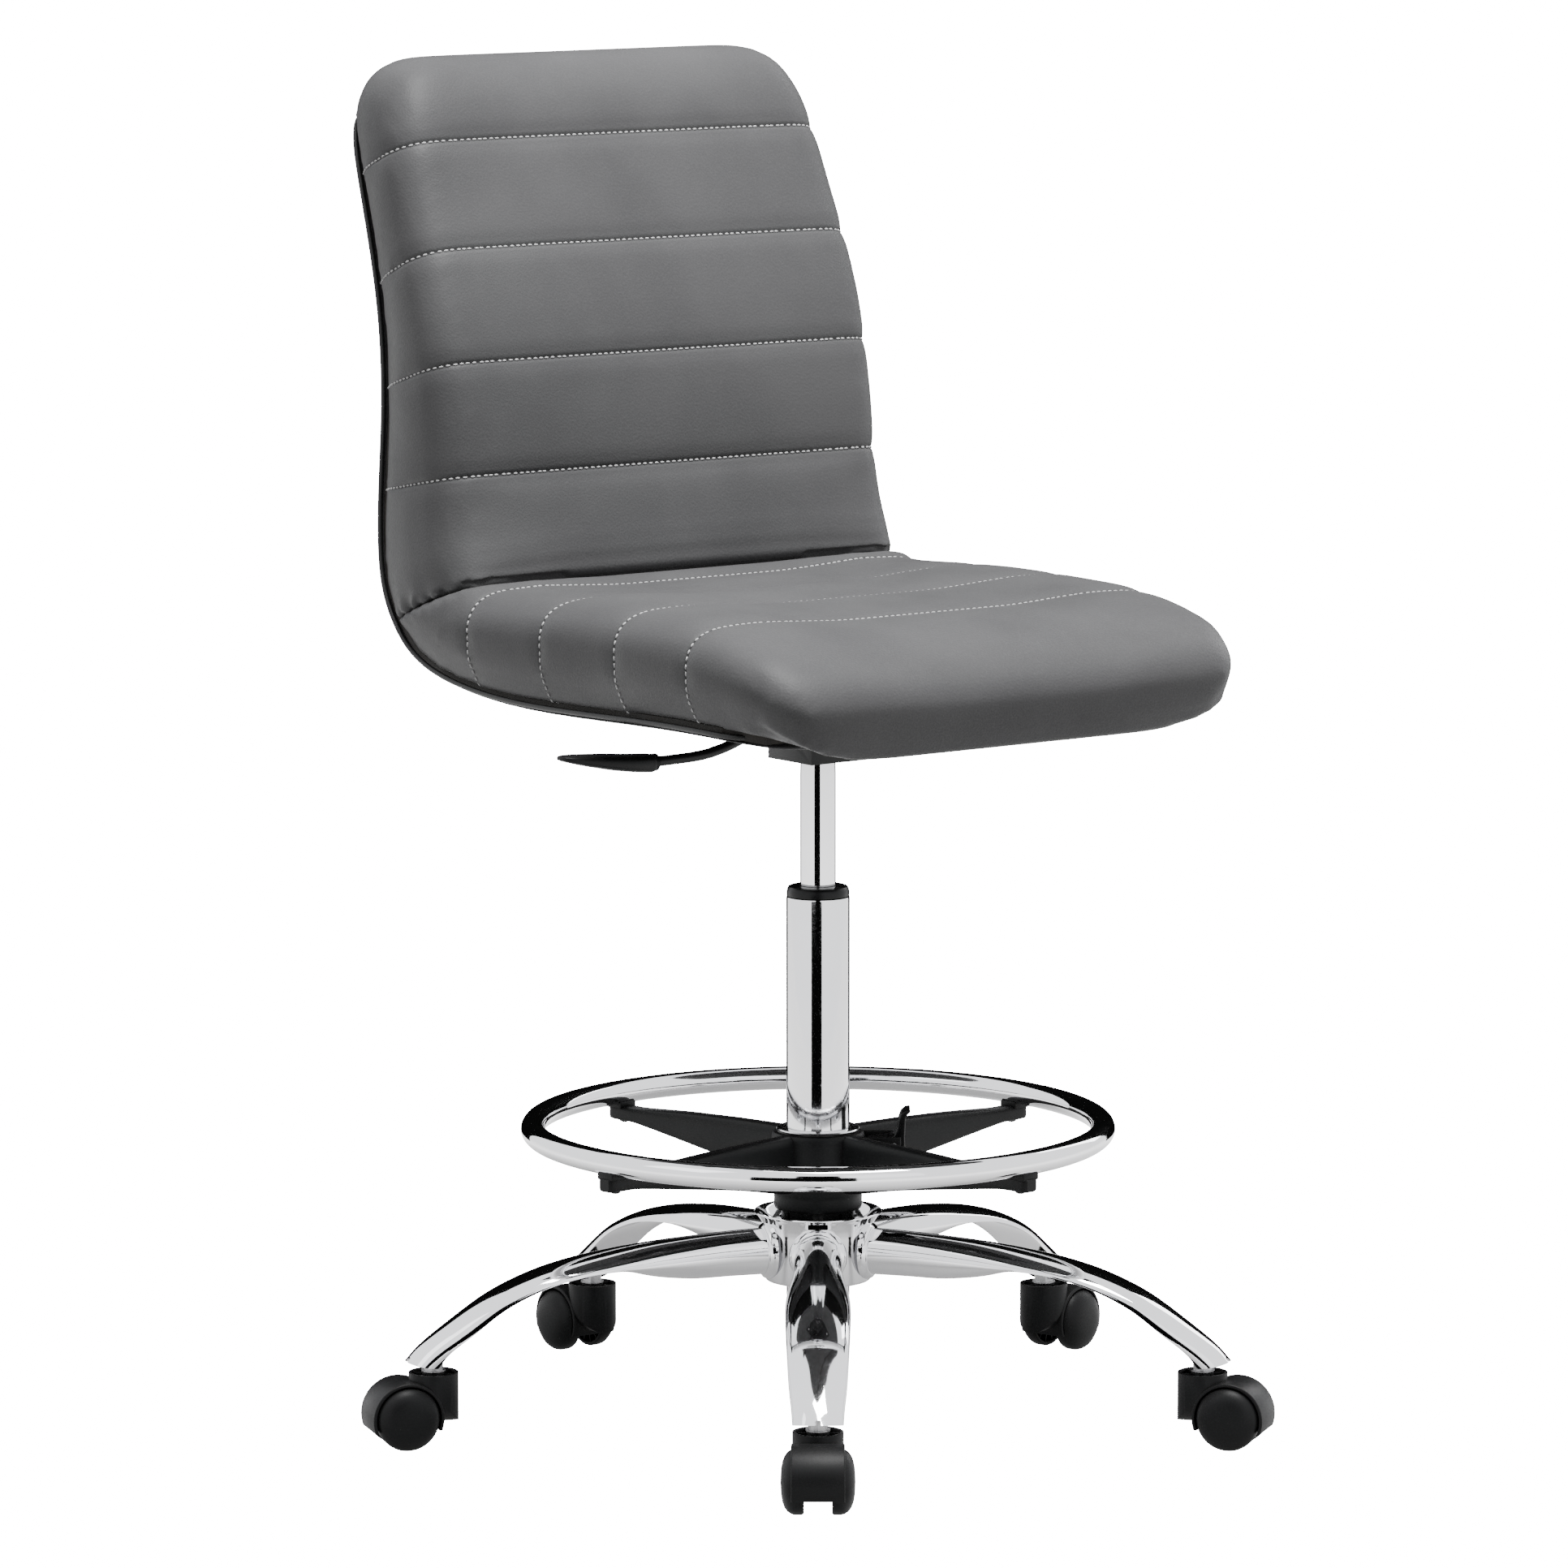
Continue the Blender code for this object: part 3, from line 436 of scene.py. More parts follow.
def effect_group(name: str, outputs: Sequence[str]) -> tuple[bpy.types.NodeTree, Tree]:
    """Start a shader node group with a Scale input and value outputs."""
    group = bpy.data.node_groups.new(name, "ShaderNodeTree")
    group.interface.new_socket("Scale", in_out="INPUT", socket_type="NodeSocketFloat")
    for output in outputs:
        group.interface.new_socket(output, in_out="OUTPUT", socket_type="NodeSocketFloat")
    return group, Tree(group)


def grain_group() -> bpy.types.NodeTree:
    """Pebbled grain with fine pores, and a slow change of tone."""
    group, tree = effect_group("pebble_grain", ("Height", "Tone"))
    source = group.nodes.new("NodeGroupInput")
    sink = group.nodes.new("NodeGroupOutput")
    place = tree.add("TexCoord").outputs["Object"]
    bend = tree.add("TexNoise", {"Vector": place, "Scale": 160.0, "Detail": 3.0})
    offset = tree.add("VectorMath", {0: bend.outputs["Color"], 1: (0.0012, 0.0012, 0.0012)},
                      operation="MULTIPLY")
    moved = tree.add("VectorMath", {0: place, 1: offset.outputs[0]}, operation="ADD")
    cells = tree.add("TexVoronoi", {"Vector": moved.outputs[0], "Scale": source.outputs[0],
                                    "Smoothness": 0.6}, feature="SMOOTH_F1")
    pores = tree.add("TexNoise", {"Vector": place, "Scale": 2600.0, "Detail": 2.0})
    height = tree.sum_of(cells.outputs["Distance"], pores.outputs["Fac"], 0.25)
    slow = tree.add("TexNoise", {"Vector": place, "Scale": 9.0, "Detail": 4.0})
    tone = tree.sum_of(slow.outputs["Fac"], height, 0.22)
    group.links.new(height, sink.inputs["Height"])
    group.links.new(tone, sink.inputs["Tone"])
    return group


def handling_group() -> bpy.types.NodeTree:
    """Smudges from handling, and thin scratches that cross them."""
    group, tree = effect_group("handling_marks", ("Smudge", "Scratch"))
    source = group.nodes.new("NodeGroupInput")
    sink = group.nodes.new("NodeGroupOutput")
    place = tree.add("TexCoord").outputs["Object"]
    smudge = tree.add("TexNoise", {"Vector": place, "Scale": source.outputs[0], "Detail": 5.0,
                                   "Roughness": 0.62})
    stretch = tree.add("Mapping", {"Vector": place, "Rotation": (0.4, 0.9, 0.2),
                                   "Scale": (90.0, 700.0, 900.0)})
    scratch = tree.add("TexNoise", {"Vector": stretch.outputs[0], "Scale": 1.0, "Detail": 1.0})
    thin = tree.ranged(scratch.outputs["Fac"], 0.0, 1.0, 0.60, 0.74)
    group.links.new(smudge.outputs["Fac"], sink.inputs["Smudge"])
    group.links.new(thin, sink.inputs["Scratch"])
    return group


def dust_group() -> bpy.types.NodeTree:
    """Fine dust that lies on the upward faces."""
    group, tree = effect_group("settled_dust", ("Mask",))
    source = group.nodes.new("NodeGroupInput")
    sink = group.nodes.new("NodeGroupOutput")
    geometry = tree.add("NewGeometry")
    parts = tree.add("SeparateXYZ", {0: geometry.outputs["Normal"]})
    up = tree.ranged(parts.outputs["Z"], 0.0, 1.0, 0.35, 1.0)
    place = tree.add("TexCoord").outputs["Object"]
    noise = tree.add("TexNoise", {"Vector": place, "Scale": source.outputs[0], "Detail": 6.0})
    patch = tree.ranged(noise.outputs["Fac"], 0.0, 1.0, 0.42, 0.78)
    mask = tree.add("Math", {0: up, 1: patch}, operation="MULTIPLY")
    group.links.new(mask.outputs[0], sink.inputs["Mask"])
    return group


@dataclass(frozen=True)
class Finish:
    """One surface finish: two tones, a grain height and a roughness range."""

    name: str
    dark: tuple[float, float, float]
    light: tuple[float, float, float]
    rough: tuple[float, float]
    metallic: float = 0.0
    grain: float = 0.0            # scale of the pebbled grain, cells to the metre
    bump: float = 0.0             # strength of its bump
    depth: float = 0.0003         # height of the bump in metres
    marks: float = 12.0           # scale of smudges
    dust: float = 0.0             # how far dust lightens upward faces
    specular: float = 0.5

    def material(self) -> Material:
        """Build the material."""
        made = bpy.data.materials.new(self.name)
        made.use_nodes = True
        tree = Tree(made.node_tree)
        shader = made.node_tree.nodes["Principled BSDF"]
        shader.inputs["Metallic"].default_value = self.metallic
        shader.inputs["Specular IOR Level"].default_value = self.specular
        marks = tree.add("Group", node_tree=bpy.data.node_groups["handling_marks"])
        marks.inputs["Scale"].default_value = self.marks
        tone, height = marks.outputs["Smudge"], marks.outputs["Scratch"]
        if self.grain:
            grain = tree.add("Group", node_tree=bpy.data.node_groups["pebble_grain"])
            grain.inputs["Scale"].default_value = self.grain
            tone, height = grain.outputs["Tone"], grain.outputs["Height"]
        colour = self.tint(tree, tree.blend(tree.ranged(tone, 0.0, 1.0, 0.3, 0.8),
                                            self.dark, self.light))
        made.node_tree.links.new(colour, shader.inputs["Base Color"])
        rough = tree.ranged(marks.outputs["Smudge"], *self.rough, 0.3, 0.7)
        rough = tree.sum_of(rough, marks.outputs["Scratch"], 0.05)
        made.node_tree.links.new(rough, shader.inputs["Roughness"])
        bump = tree.add("Bump", {"Strength": self.bump, "Distance": self.depth,
                                 "Height": height})
        made.node_tree.links.new(bump.outputs[0], shader.inputs["Normal"])
        return made

    def tint(self, tree: Tree, colour):
        """Lighten the colour where dust has settled and return it."""
        if not self.dust:
            return colour
        dust = tree.add("Group", node_tree=bpy.data.node_groups["settled_dust"])
        dust.inputs["Scale"].default_value = 35.0
        share = tree.ranged(dust.outputs["Mask"], 0.0, self.dust)
        return tree.over(share, colour, (0.35, 0.34, 0.32))


@dataclass(frozen=True)
class SewnFinish(Finish):
    """A cover material with painted shade in its seams, laid on by the piece's seam attribute."""

    # colour of the painted shade in the seam grooves
    seam: tuple[float, float, float] = (0.016, 0.016, 0.017)

    def tint(self, tree: Tree, colour):
        """Lay painted shade over the colour in the seams and return it."""
        near = tree.add("Attribute", attribute_name="seam")
        return tree.over(near.outputs["Fac"], colour, self.seam)


@dataclass(frozen=True)
class WoodFinish(Finish):
    """Stained plywood with growth lines."""

    def tint(self, tree: Tree, colour):
        """Lay growth lines over the colour and return it."""
        place = tree.add("TexCoord").outputs["Object"]
        lines = tree.add("TexWave", {"Vector": place, "Scale": 22.0, "Distortion": 6.0,
                                     "Detail": 3.0})
        share = tree.ranged(lines.outputs["Fac"], 0.0, 0.6)
        return tree.over(share, colour, (0.016, 0.012, 0.009))


class Paints:
    """All the chair's materials, made once."""

    def __init__(self) -> None:
        """Build the shared effects and every material."""
        for make in (grain_group, handling_group, dust_group):
            make()
        grey, black = (0.068, 0.068, 0.070), (0.004, 0.004, 0.0044)
        self.leather = SewnFinish("grey_leatherette", grey, (0.096, 0.096, 0.098), (0.42, 0.52),
                                  grain=620.0, bump=0.35, depth=0.0004,
                                  specular=0.16).material()
        self.cover = Finish("cover_leatherette", (0.066, 0.066, 0.068), (0.095, 0.095, 0.097),
                            (0.44, 0.54), grain=620.0, bump=0.35, depth=0.0004,
                            specular=0.16).material()
        self.thread = Finish("grey_thread", (0.50, 0.50, 0.50), (0.72, 0.72, 0.72), (0.6, 0.7),
                             grain=3200.0, bump=0.6, depth=0.0002).material()
        self.piping = Finish("black_piping", (0.006, 0.006, 0.006), (0.014, 0.014, 0.014),
                             (0.38, 0.48), grain=900.0, bump=0.25, specular=0.3).material()
        self.chrome = Finish("polished_chrome", (0.80, 0.80, 0.815), (0.87, 0.87, 0.88),
                             (0.035, 0.075), metallic=1.0, bump=0.015, depth=0.0001).material()
        self.satin = Finish("satin_chrome", (0.62, 0.62, 0.63), (0.72, 0.72, 0.73),
                            (0.16, 0.24), metallic=1.0, bump=0.03, depth=0.0001).material()
        self.steel = Finish("zinc_steel", (0.38, 0.38, 0.39), (0.52, 0.52, 0.52), (0.28, 0.42),
                            metallic=1.0, bump=0.08, depth=0.0001).material()
        self.nylon = Finish("black_nylon", black, (0.008, 0.008, 0.0084), (0.38, 0.48),
                            grain=1500.0, bump=0.18, depth=0.0002, dust=0.015,
                            specular=0.14).material()
        self.gloss = Finish("smooth_black_nylon", (0.005, 0.005, 0.0055), (0.010, 0.010, 0.0105),
                            (0.24, 0.34), grain=1500.0, bump=0.06, depth=0.0002,
                            specular=0.18).material()
        self.coat = Finish("black_powder_coat", (0.006, 0.006, 0.0065), (0.012, 0.012, 0.0125),
                           (0.34, 0.44), grain=2200.0, bump=0.25, depth=0.0002,
                           specular=0.18).material()
        self.rubber = Finish("matt_rubber", (0.010, 0.010, 0.010), (0.018, 0.018, 0.018),
                             (0.7, 0.85), grain=1200.0, bump=0.2, specular=0.3).material()
        self.wood = WoodFinish("stained_plywood", (0.009, 0.008, 0.007), (0.018, 0.016, 0.014),
                               (0.6, 0.75), bump=0.1, depth=0.0002, specular=0.3).material()

    def dress_nodes(self) -> None:
        """Give every CAD node the material of its record slot."""
        by_slot = {Slot.CHROME: self.chrome, Slot.STEEL: self.steel,
                   Slot.BLACK_STEEL: self.coat, Slot.NYLON: self.nylon,
                   Slot.RUBBER: self.rubber, Slot.LEATHERETTE: self.cover,
                   Slot.PLYWOOD: self.wood}
        for entry in frame["record"]["subparts"]:
            obj = frame["nodes"][entry["node"]]
            obj.data.materials.clear()
            obj.data.materials.append(by_slot[Slot(entry["material_slot"])])


# ---- upholstery ------------------------------------------------------------------------
@dataclass(frozen=True)
class Plane:
    """A plane across a cushion, along a sewn line or the crease."""

    point: Vector
    normal: Vector

    def distances(self, places: np.ndarray) -> np.ndarray:
        """Signed distances of places from the plane."""
        return (places - np.array(self.point)) @ np.array(self.normal)


def coordinates(obj: Object) -> np.ndarray:
    """Return an object's vertex places as rows."""
    places = np.zeros(len(obj.data.vertices) * 3, np.float32)
    obj.data.vertices.foreach_get("co", places)
    return places.reshape(-1, 3).astype(float)


def normals_of(obj: Object) -> np.ndarray:
    """Return an object's vertex normals as rows."""
    normals = np.zeros(len(obj.data.vertices) * 3, np.float32)
    obj.data.vertices.foreach_get("normal", normals)
    return normals.reshape(-1, 3).astype(float)


def weight_group(obj: Object, name: str, weights: np.ndarray) -> None:
    """Add a vertex group that gives each vertex a weight."""
    group = obj.vertex_groups.new(name=name)
    for index, weight in enumerate(weights):
        if weight > 0.0:
            group.add([index], float(weight), "REPLACE")


def place_vertices(obj: Object, places: np.ndarray) -> None:
    """Move an object's vertices to new places."""
    obj.data.vertices.foreach_set("co", places.astype(np.float32).ravel())
    obj.data.update()


@dataclass
class Cushion:
    """A sewn cushion: remeshed, inflated by cloth between its held seams, then stitched."""

    node: str
    facing: Vector                # way its padded face looks
    seams: list[Plane]
    crease: Plane                 # plane of the face that meets the other cushion
    fill: float
    voxel: float = 0.005
    rounding: int = 42            # rounds of smoothing before the pad is inflated
    regain: float = 0.0042        # brings the open faces back out after the smoothing
    pressure: float = 4.0
    frames: int = 20              # steps of the inflation
    cap: float = 0.0042           # the most that a point of this firm foam may swell
    hold_reach: float = 0.0085    # a seam holds the pad down this far to each side
    settle_steps: int = 8         # rounds of evening out the swelling
    groove: float = 0.0012        # depth of a sewn line
    groove_width: float = 0.0019
    shade_width: float = 0.0013   # width of the painted shade line in it
    dip: float = 0.0014           # depth of the wide hollow along a sewn line
    dip_width: float = 0.0085
    crease_reach: float = 0.016   # the pad stays flat this near its mating face
    tuck: float = 0.0             # how far its face draws back at the mating face
    tuck_width: float = 0.02
    still: tuple[float, float] = (0.003, 0.014)   # crisp edge at the crease, and its fade
    under: tuple[float, float] = (0.8, 0.4)       # the same at the base, by its normals
    stitch_pitch: float = 0.0057
    stitch_length: float = 0.0042
    stitch_radius: float = 0.00078

    def build(self, paints: Paints) -> None:
        """Make the cushion and its thread."""
        pad = node_copy(self.node, f"{self.node}_pad")
        apply_modifier(pad, "REMESH", mode="VOXEL", voxel_size=self.voxel)
        self.even_out(pad)
        normals = normals_of(pad)
        grown = self.open_share(normals) * self.regain
        place_vertices(pad, coordinates(pad) + normals * grown[:, None])
        self.swell(pad)
        apply_modifier(pad, "SUBSURF", levels=1, render_levels=1)
        self.cut_lines(pad)
        self.press_seams(pad)
        smooth(pad, 70.0)
        dress(pad, paints.leather, "seat_unit", Slot.LEATHERETTE, self.node)
        thread = self.sew(pad)
        dress(thread, paints.thread, "seat_unit", Slot.LEATHERETTE)
        log.info("%s: %d faces, %d seams", pad.name, len(pad.data.polygons), len(self.seams))

    def open_share(self, normals: np.ndarray, fade: float = 0.5) -> np.ndarray:
        """Return how far points lie on the padded faces: 1 in front, 0 on the base."""
        return np.clip((normals @ np.array(self.facing) + 0.35) / fade, 0.0, 1.0)

    def even_out(self, pad: Object) -> None:
        """Round the pad's corners, except at its base and where it meets the other cushion."""
        near = np.abs(self.crease.distances(coordinates(pad)))
        away = normals_of(pad) @ np.array(self.facing)
        clear = np.clip((away + self.under[0]) / self.under[1], 0.0, 1.0)
        weight_group(pad, "free",
                     clear * np.clip((near - self.still[0]) / self.still[1], 0.0, 1.0))
        apply_modifier(pad, "SMOOTH", factor=0.5, iterations=self.rounding, vertex_group="free")
        pad.vertex_groups.clear()
        normals = normals_of(pad)
        drawn = self.tuck * np.exp(-(near / self.tuck_width) ** 2) * self.open_share(normals)
        place_vertices(pad, coordinates(pad) - normals * drawn[:, None])

    def held(self, places: np.ndarray, normals: np.ndarray) -> np.ndarray:
        """Return how firmly each point is held: 1 on the seams and on the hidden faces."""
        weights = np.zeros(len(places))
        for seam in self.seams:
            near = np.abs(seam.distances(places))
            weights = np.maximum(weights, np.clip((self.hold_reach - near) / 0.004, 0.0, 1.0))
        away = normals @ np.array(self.facing)
        weights = np.maximum(weights, np.clip((-0.15 - away) / 0.3, 0.0, 1.0))
        near = np.abs(self.crease.distances(places))
        return np.maximum(weights, np.clip((self.crease_reach - near) / 0.008, 0.0, 1.0))

    def evened(self, pad: Object, amount: np.ndarray, weights: np.ndarray) -> np.ndarray:
        """Even out the swelling over neighbouring points, keeping held points down."""
        ends = np.zeros(len(pad.data.edges) * 2, np.int32)
        pad.data.edges.foreach_get("vertices", ends)
        one, two = ends[0::2], ends[1::2]
        size = len(amount)
        degree = np.bincount(one, minlength=size) + np.bincount(two, minlength=size)
        for _ in range(self.settle_steps):
            around = (np.bincount(one, amount[two], size) + np.bincount(two, amount[one], size))
            amount = (0.5 * amount + 0.5 * around / degree) * (1.0 - 0.6 * weights)
        return amount

    def swell(self, pad: Object) -> None:
        rest, normals = coordinates(pad), normals_of(pad)
        weights = self.held(rest, normals)
        weight_group(pad, "held", weights)
        cloth = pad.modifiers.new("Cloth", "CLOTH")
        settings = cloth.settings
        settings.quality = 4
        settings.mass = 0.3
        settings.use_pressure = True
        settings.uniform_pressure_force = self.pressure
        settings.vertex_group_mass = "held"
        settings.effector_weights.gravity = 0.0
        cloth.collision_settings.use_collision = False
        for step in range(1, self.frames + 1):
            bpy.context.scene.frame_set(step)
        graph = bpy.context.evaluated_depsgraph_get()
        blown = coordinates(pad.evaluated_get(graph))
        pad.modifiers.clear()
        pad.vertex_groups.clear()
        bpy.context.scene.frame_set(1)
        rise = np.maximum(((blown - rest) * normals).sum(axis=1), 0.0)
        amount = self.evened(pad, self.cap * np.tanh(rise / self.cap), weights)
        place_vertices(pad, rest + normals * amount[:, None])

    def cut_lines(self, pad: Object) -> None:
        """Cut edges along each seam, so that its groove is clean."""
        select_only(pad)
        bpy.ops.object.mode_set(mode="EDIT")
        for seam in self.seams:
            for offset in (-0.0042, -0.0024, -0.0011, 0.0, 0.0011, 0.0024, 0.0042):
                bpy.ops.mesh.select_all(action="SELECT")
                bpy.ops.mesh.bisect(plane_co=seam.point + seam.normal * offset,
                                    plane_no=seam.normal)
        bpy.ops.object.mode_set(mode="OBJECT")

    def press_seams(self, pad: Object) -> None:
        """Press the grooves into the padded faces and write the seam attribute, which lays
        painted shade into them.
        """
        places, normals = coordinates(pad), normals_of(pad)
        open_side = self.open_share(normals, 0.25)
        depth, shade = np.zeros(len(places)), np.zeros(len(places))
        for seam in self.seams:
            near = seam.distances(places)
            depth += self.groove * np.exp(-(near / self.groove_width) ** 2)
            depth += self.dip * np.exp(-(near / self.dip_width) ** 2)
            shade = np.maximum(shade, np.exp(-(near / self.shade_width) ** 2))
        place_vertices(pad, places - normals * (depth * open_side)[:, None])
        # painted shade along each groove, strongest on the sewn line, only on the padded faces
        painted_seam_shade = pad.data.attributes.new("seam", "FLOAT", "POINT")
        painted_seam_shade.data.foreach_set("value", (shade * open_side * 0.8).astype(np.float32))

    def sew(self, pad: Object) -> Object:
        """Lay a row of stitches along each seam and return them as one piece."""
        tree = BVHTree.FromObject(pad, bpy.context.evaluated_depsgraph_get())
        stitch = self.stitch()
        matrices = [matrix for seam in self.seams for matrix in self.stitch_places(tree, seam)]
        corners = coordinates(stitch)
        faces = [tuple(face.vertices) for face in stitch.data.polygons]
        discard(stitch)
        count = len(corners)
        places = np.vstack([corners @ np.array(m.to_3x3()).T + np.array(m.translation)
                            for m in matrices])
        rows = [tuple(index + count * n for index in face)
                for n in range(len(matrices)) for face in faces]
        mesh = bpy.data.meshes.new(f"{self.node}_thread")
        mesh.from_pydata([tuple(place) for place in places], [], rows)
        thread = bpy.data.objects.new(mesh.name, mesh)
        bpy.context.scene.collection.objects.link(thread)
        return smooth(thread, 80.0)

    def stitch(self) -> Object:
        """Model one stitch along X: a small sphere drawn out and flattened."""
        clear_selection()
        bpy.ops.mesh.primitive_uv_sphere_add(segments=6, ring_count=5, radius=1.0)
        size = (self.stitch_length / 2.0, self.stitch_radius * 1.15, self.stitch_radius)
        return edit_all(named("one_stitch"), bpy.ops.transform.resize, value=size)

    def stitch_places(self, tree: BVHTree, seam: Plane) -> list[Matrix]:
        """Find where each stitch of a seam lies.

        Args:
            tree: The pad's surface.
            seam: The sewn line.

        Returns:
            One matrix for each stitch, with X along the seam and Z out of the surface.
        """
        out = (self.facing - seam.normal * self.facing.dot(seam.normal)).normalized()
        side = seam.normal.cross(out).normalized()
        line = []
        for angle in np.radians(np.linspace(-24.0, 204.0, 1400)):
            way = side * math.cos(angle) + out * math.sin(angle)
            hit, normal, _, _ = tree.ray_cast(seam.point + way * 0.5, -way)
            if hit is not None and (hit - seam.point).dot(way) > 0.0:
                line.append((hit, normal))
        places, run, due = [], 0.0, self.stitch_pitch / 2.0
        for (here, _), (ahead, normal) in zip(line, line[1:]):
            run += (ahead - here).length
            if run >= due:
                due += self.stitch_pitch
                along = (ahead - here).normalized()
                up = (normal - along * normal.dot(along)).normalized()
                turn = Matrix((along, up.cross(along), up)).transposed().to_4x4()
                lift = up * self.stitch_radius * 0.35
                places.append(Matrix.Translation(ahead + lift) @ turn)
        return places


@dataclass
class Upholstery:
    """Both cushions, the rear cover and the piping between them."""

    back_lines: tuple[tuple[float, float], ...] = ((1.003, 21.6), (0.920, 22.4),
                                                   (0.833, 15.8), (0.745, 10.1))
    seat_lines: tuple[float, ...] = (-0.150, -0.052, 0.045, 0.138)
    seam_core: float = 0.03       # how far inside the back its seams are swept from
    piping_swell: float = 0.0005
    crease_in: float = 0.086      # how far the mating faces start inside the back's box
    crease_normal: tuple[float, float] = (0.319, 0.948)

    def back_seams(self) -> list[Plane]:
        """Planes square to the back's face, at heights above the floor."""
        seams = []
        for height, lean in self.back_lines:
            tilt = math.radians(lean)
            normal = Vector((0.0, math.sin(tilt), math.cos(tilt)))
            face = self.face_y(height)
            inward = Vector((0.0, math.cos(tilt), -math.sin(tilt)))
            inside = Vector((AXIS.x, face, height)) + inward * self.seam_core
            seams.append(Plane(inside, normal))
        return seams

    def face_y(self, height: float) -> float:
        """Where the back's padded face lies at a height, on the chair's middle plane."""
        node = frame["nodes"]["back_cushion"]
        tree = BVHTree.FromObject(node, bpy.context.evaluated_depsgraph_get())
        hit, _, _, _ = tree.ray_cast(Vector((AXIS.x, -1.0, height)), Vector((0.0, 1.0, 0.0)))
        return hit.y

    def seat_seams(self) -> list[Plane]:
        """Upright planes across the seat, at distances forward of the column axis."""
        low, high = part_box("seat_cushion")
        height = low.z + (high.z - low.z) * 0.5
        return [Plane(Vector((AXIS.x, AXIS.y - forward, height)), Vector((0.0, 1.0, 0.0)))
                for forward in self.seat_lines]

    def crease(self) -> Plane:
        """Plane between the two cushions, through the line where their boxes meet."""
        low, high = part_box("back_cushion")
        return Plane(Vector((AXIS.x, high.y - self.crease_in, low.z)),
                     Vector((0.0, *self.crease_normal)))

    def rounded_copy(self, node: str, name: str, levels: int) -> Object:
        """Copy a CAD node and round it by subdivision."""
        made = edit_all(node_copy(node, name), bpy.ops.mesh.tris_convert_to_quads)
        return smooth(apply_modifier(made, "SUBSURF", levels=levels, render_levels=levels), 80.0)

    def build(self, paints: Paints) -> None:
        """Make all the upholstery."""
        crease = self.crease()
        Cushion("back_cushion", Vector((0.0, -0.94, 0.34)), self.back_seams(), crease,
                0.8, tuck=0.005).build(paints)
        Cushion("seat_cushion", Vector((0.0, 0.0, 1.0)), self.seat_seams(), crease,
                0.85).build(paints)
        cover = self.rounded_copy("rear_cover", "rear_cover_skin", 2)
        dress(cover, paints.cover, "seat_unit", Slot.LEATHERETTE, "rear_cover")
        piping = self.rounded_copy("edge_piping", "edge_piping_cord", 3)
        place_vertices(piping, coordinates(piping) + normals_of(piping) * self.piping_swell)
        dress(piping, paints.piping, "seat_unit", Slot.RUBBER, "edge_piping")
        log.info("rear cover %d faces, piping", len(cover.data.polygons))


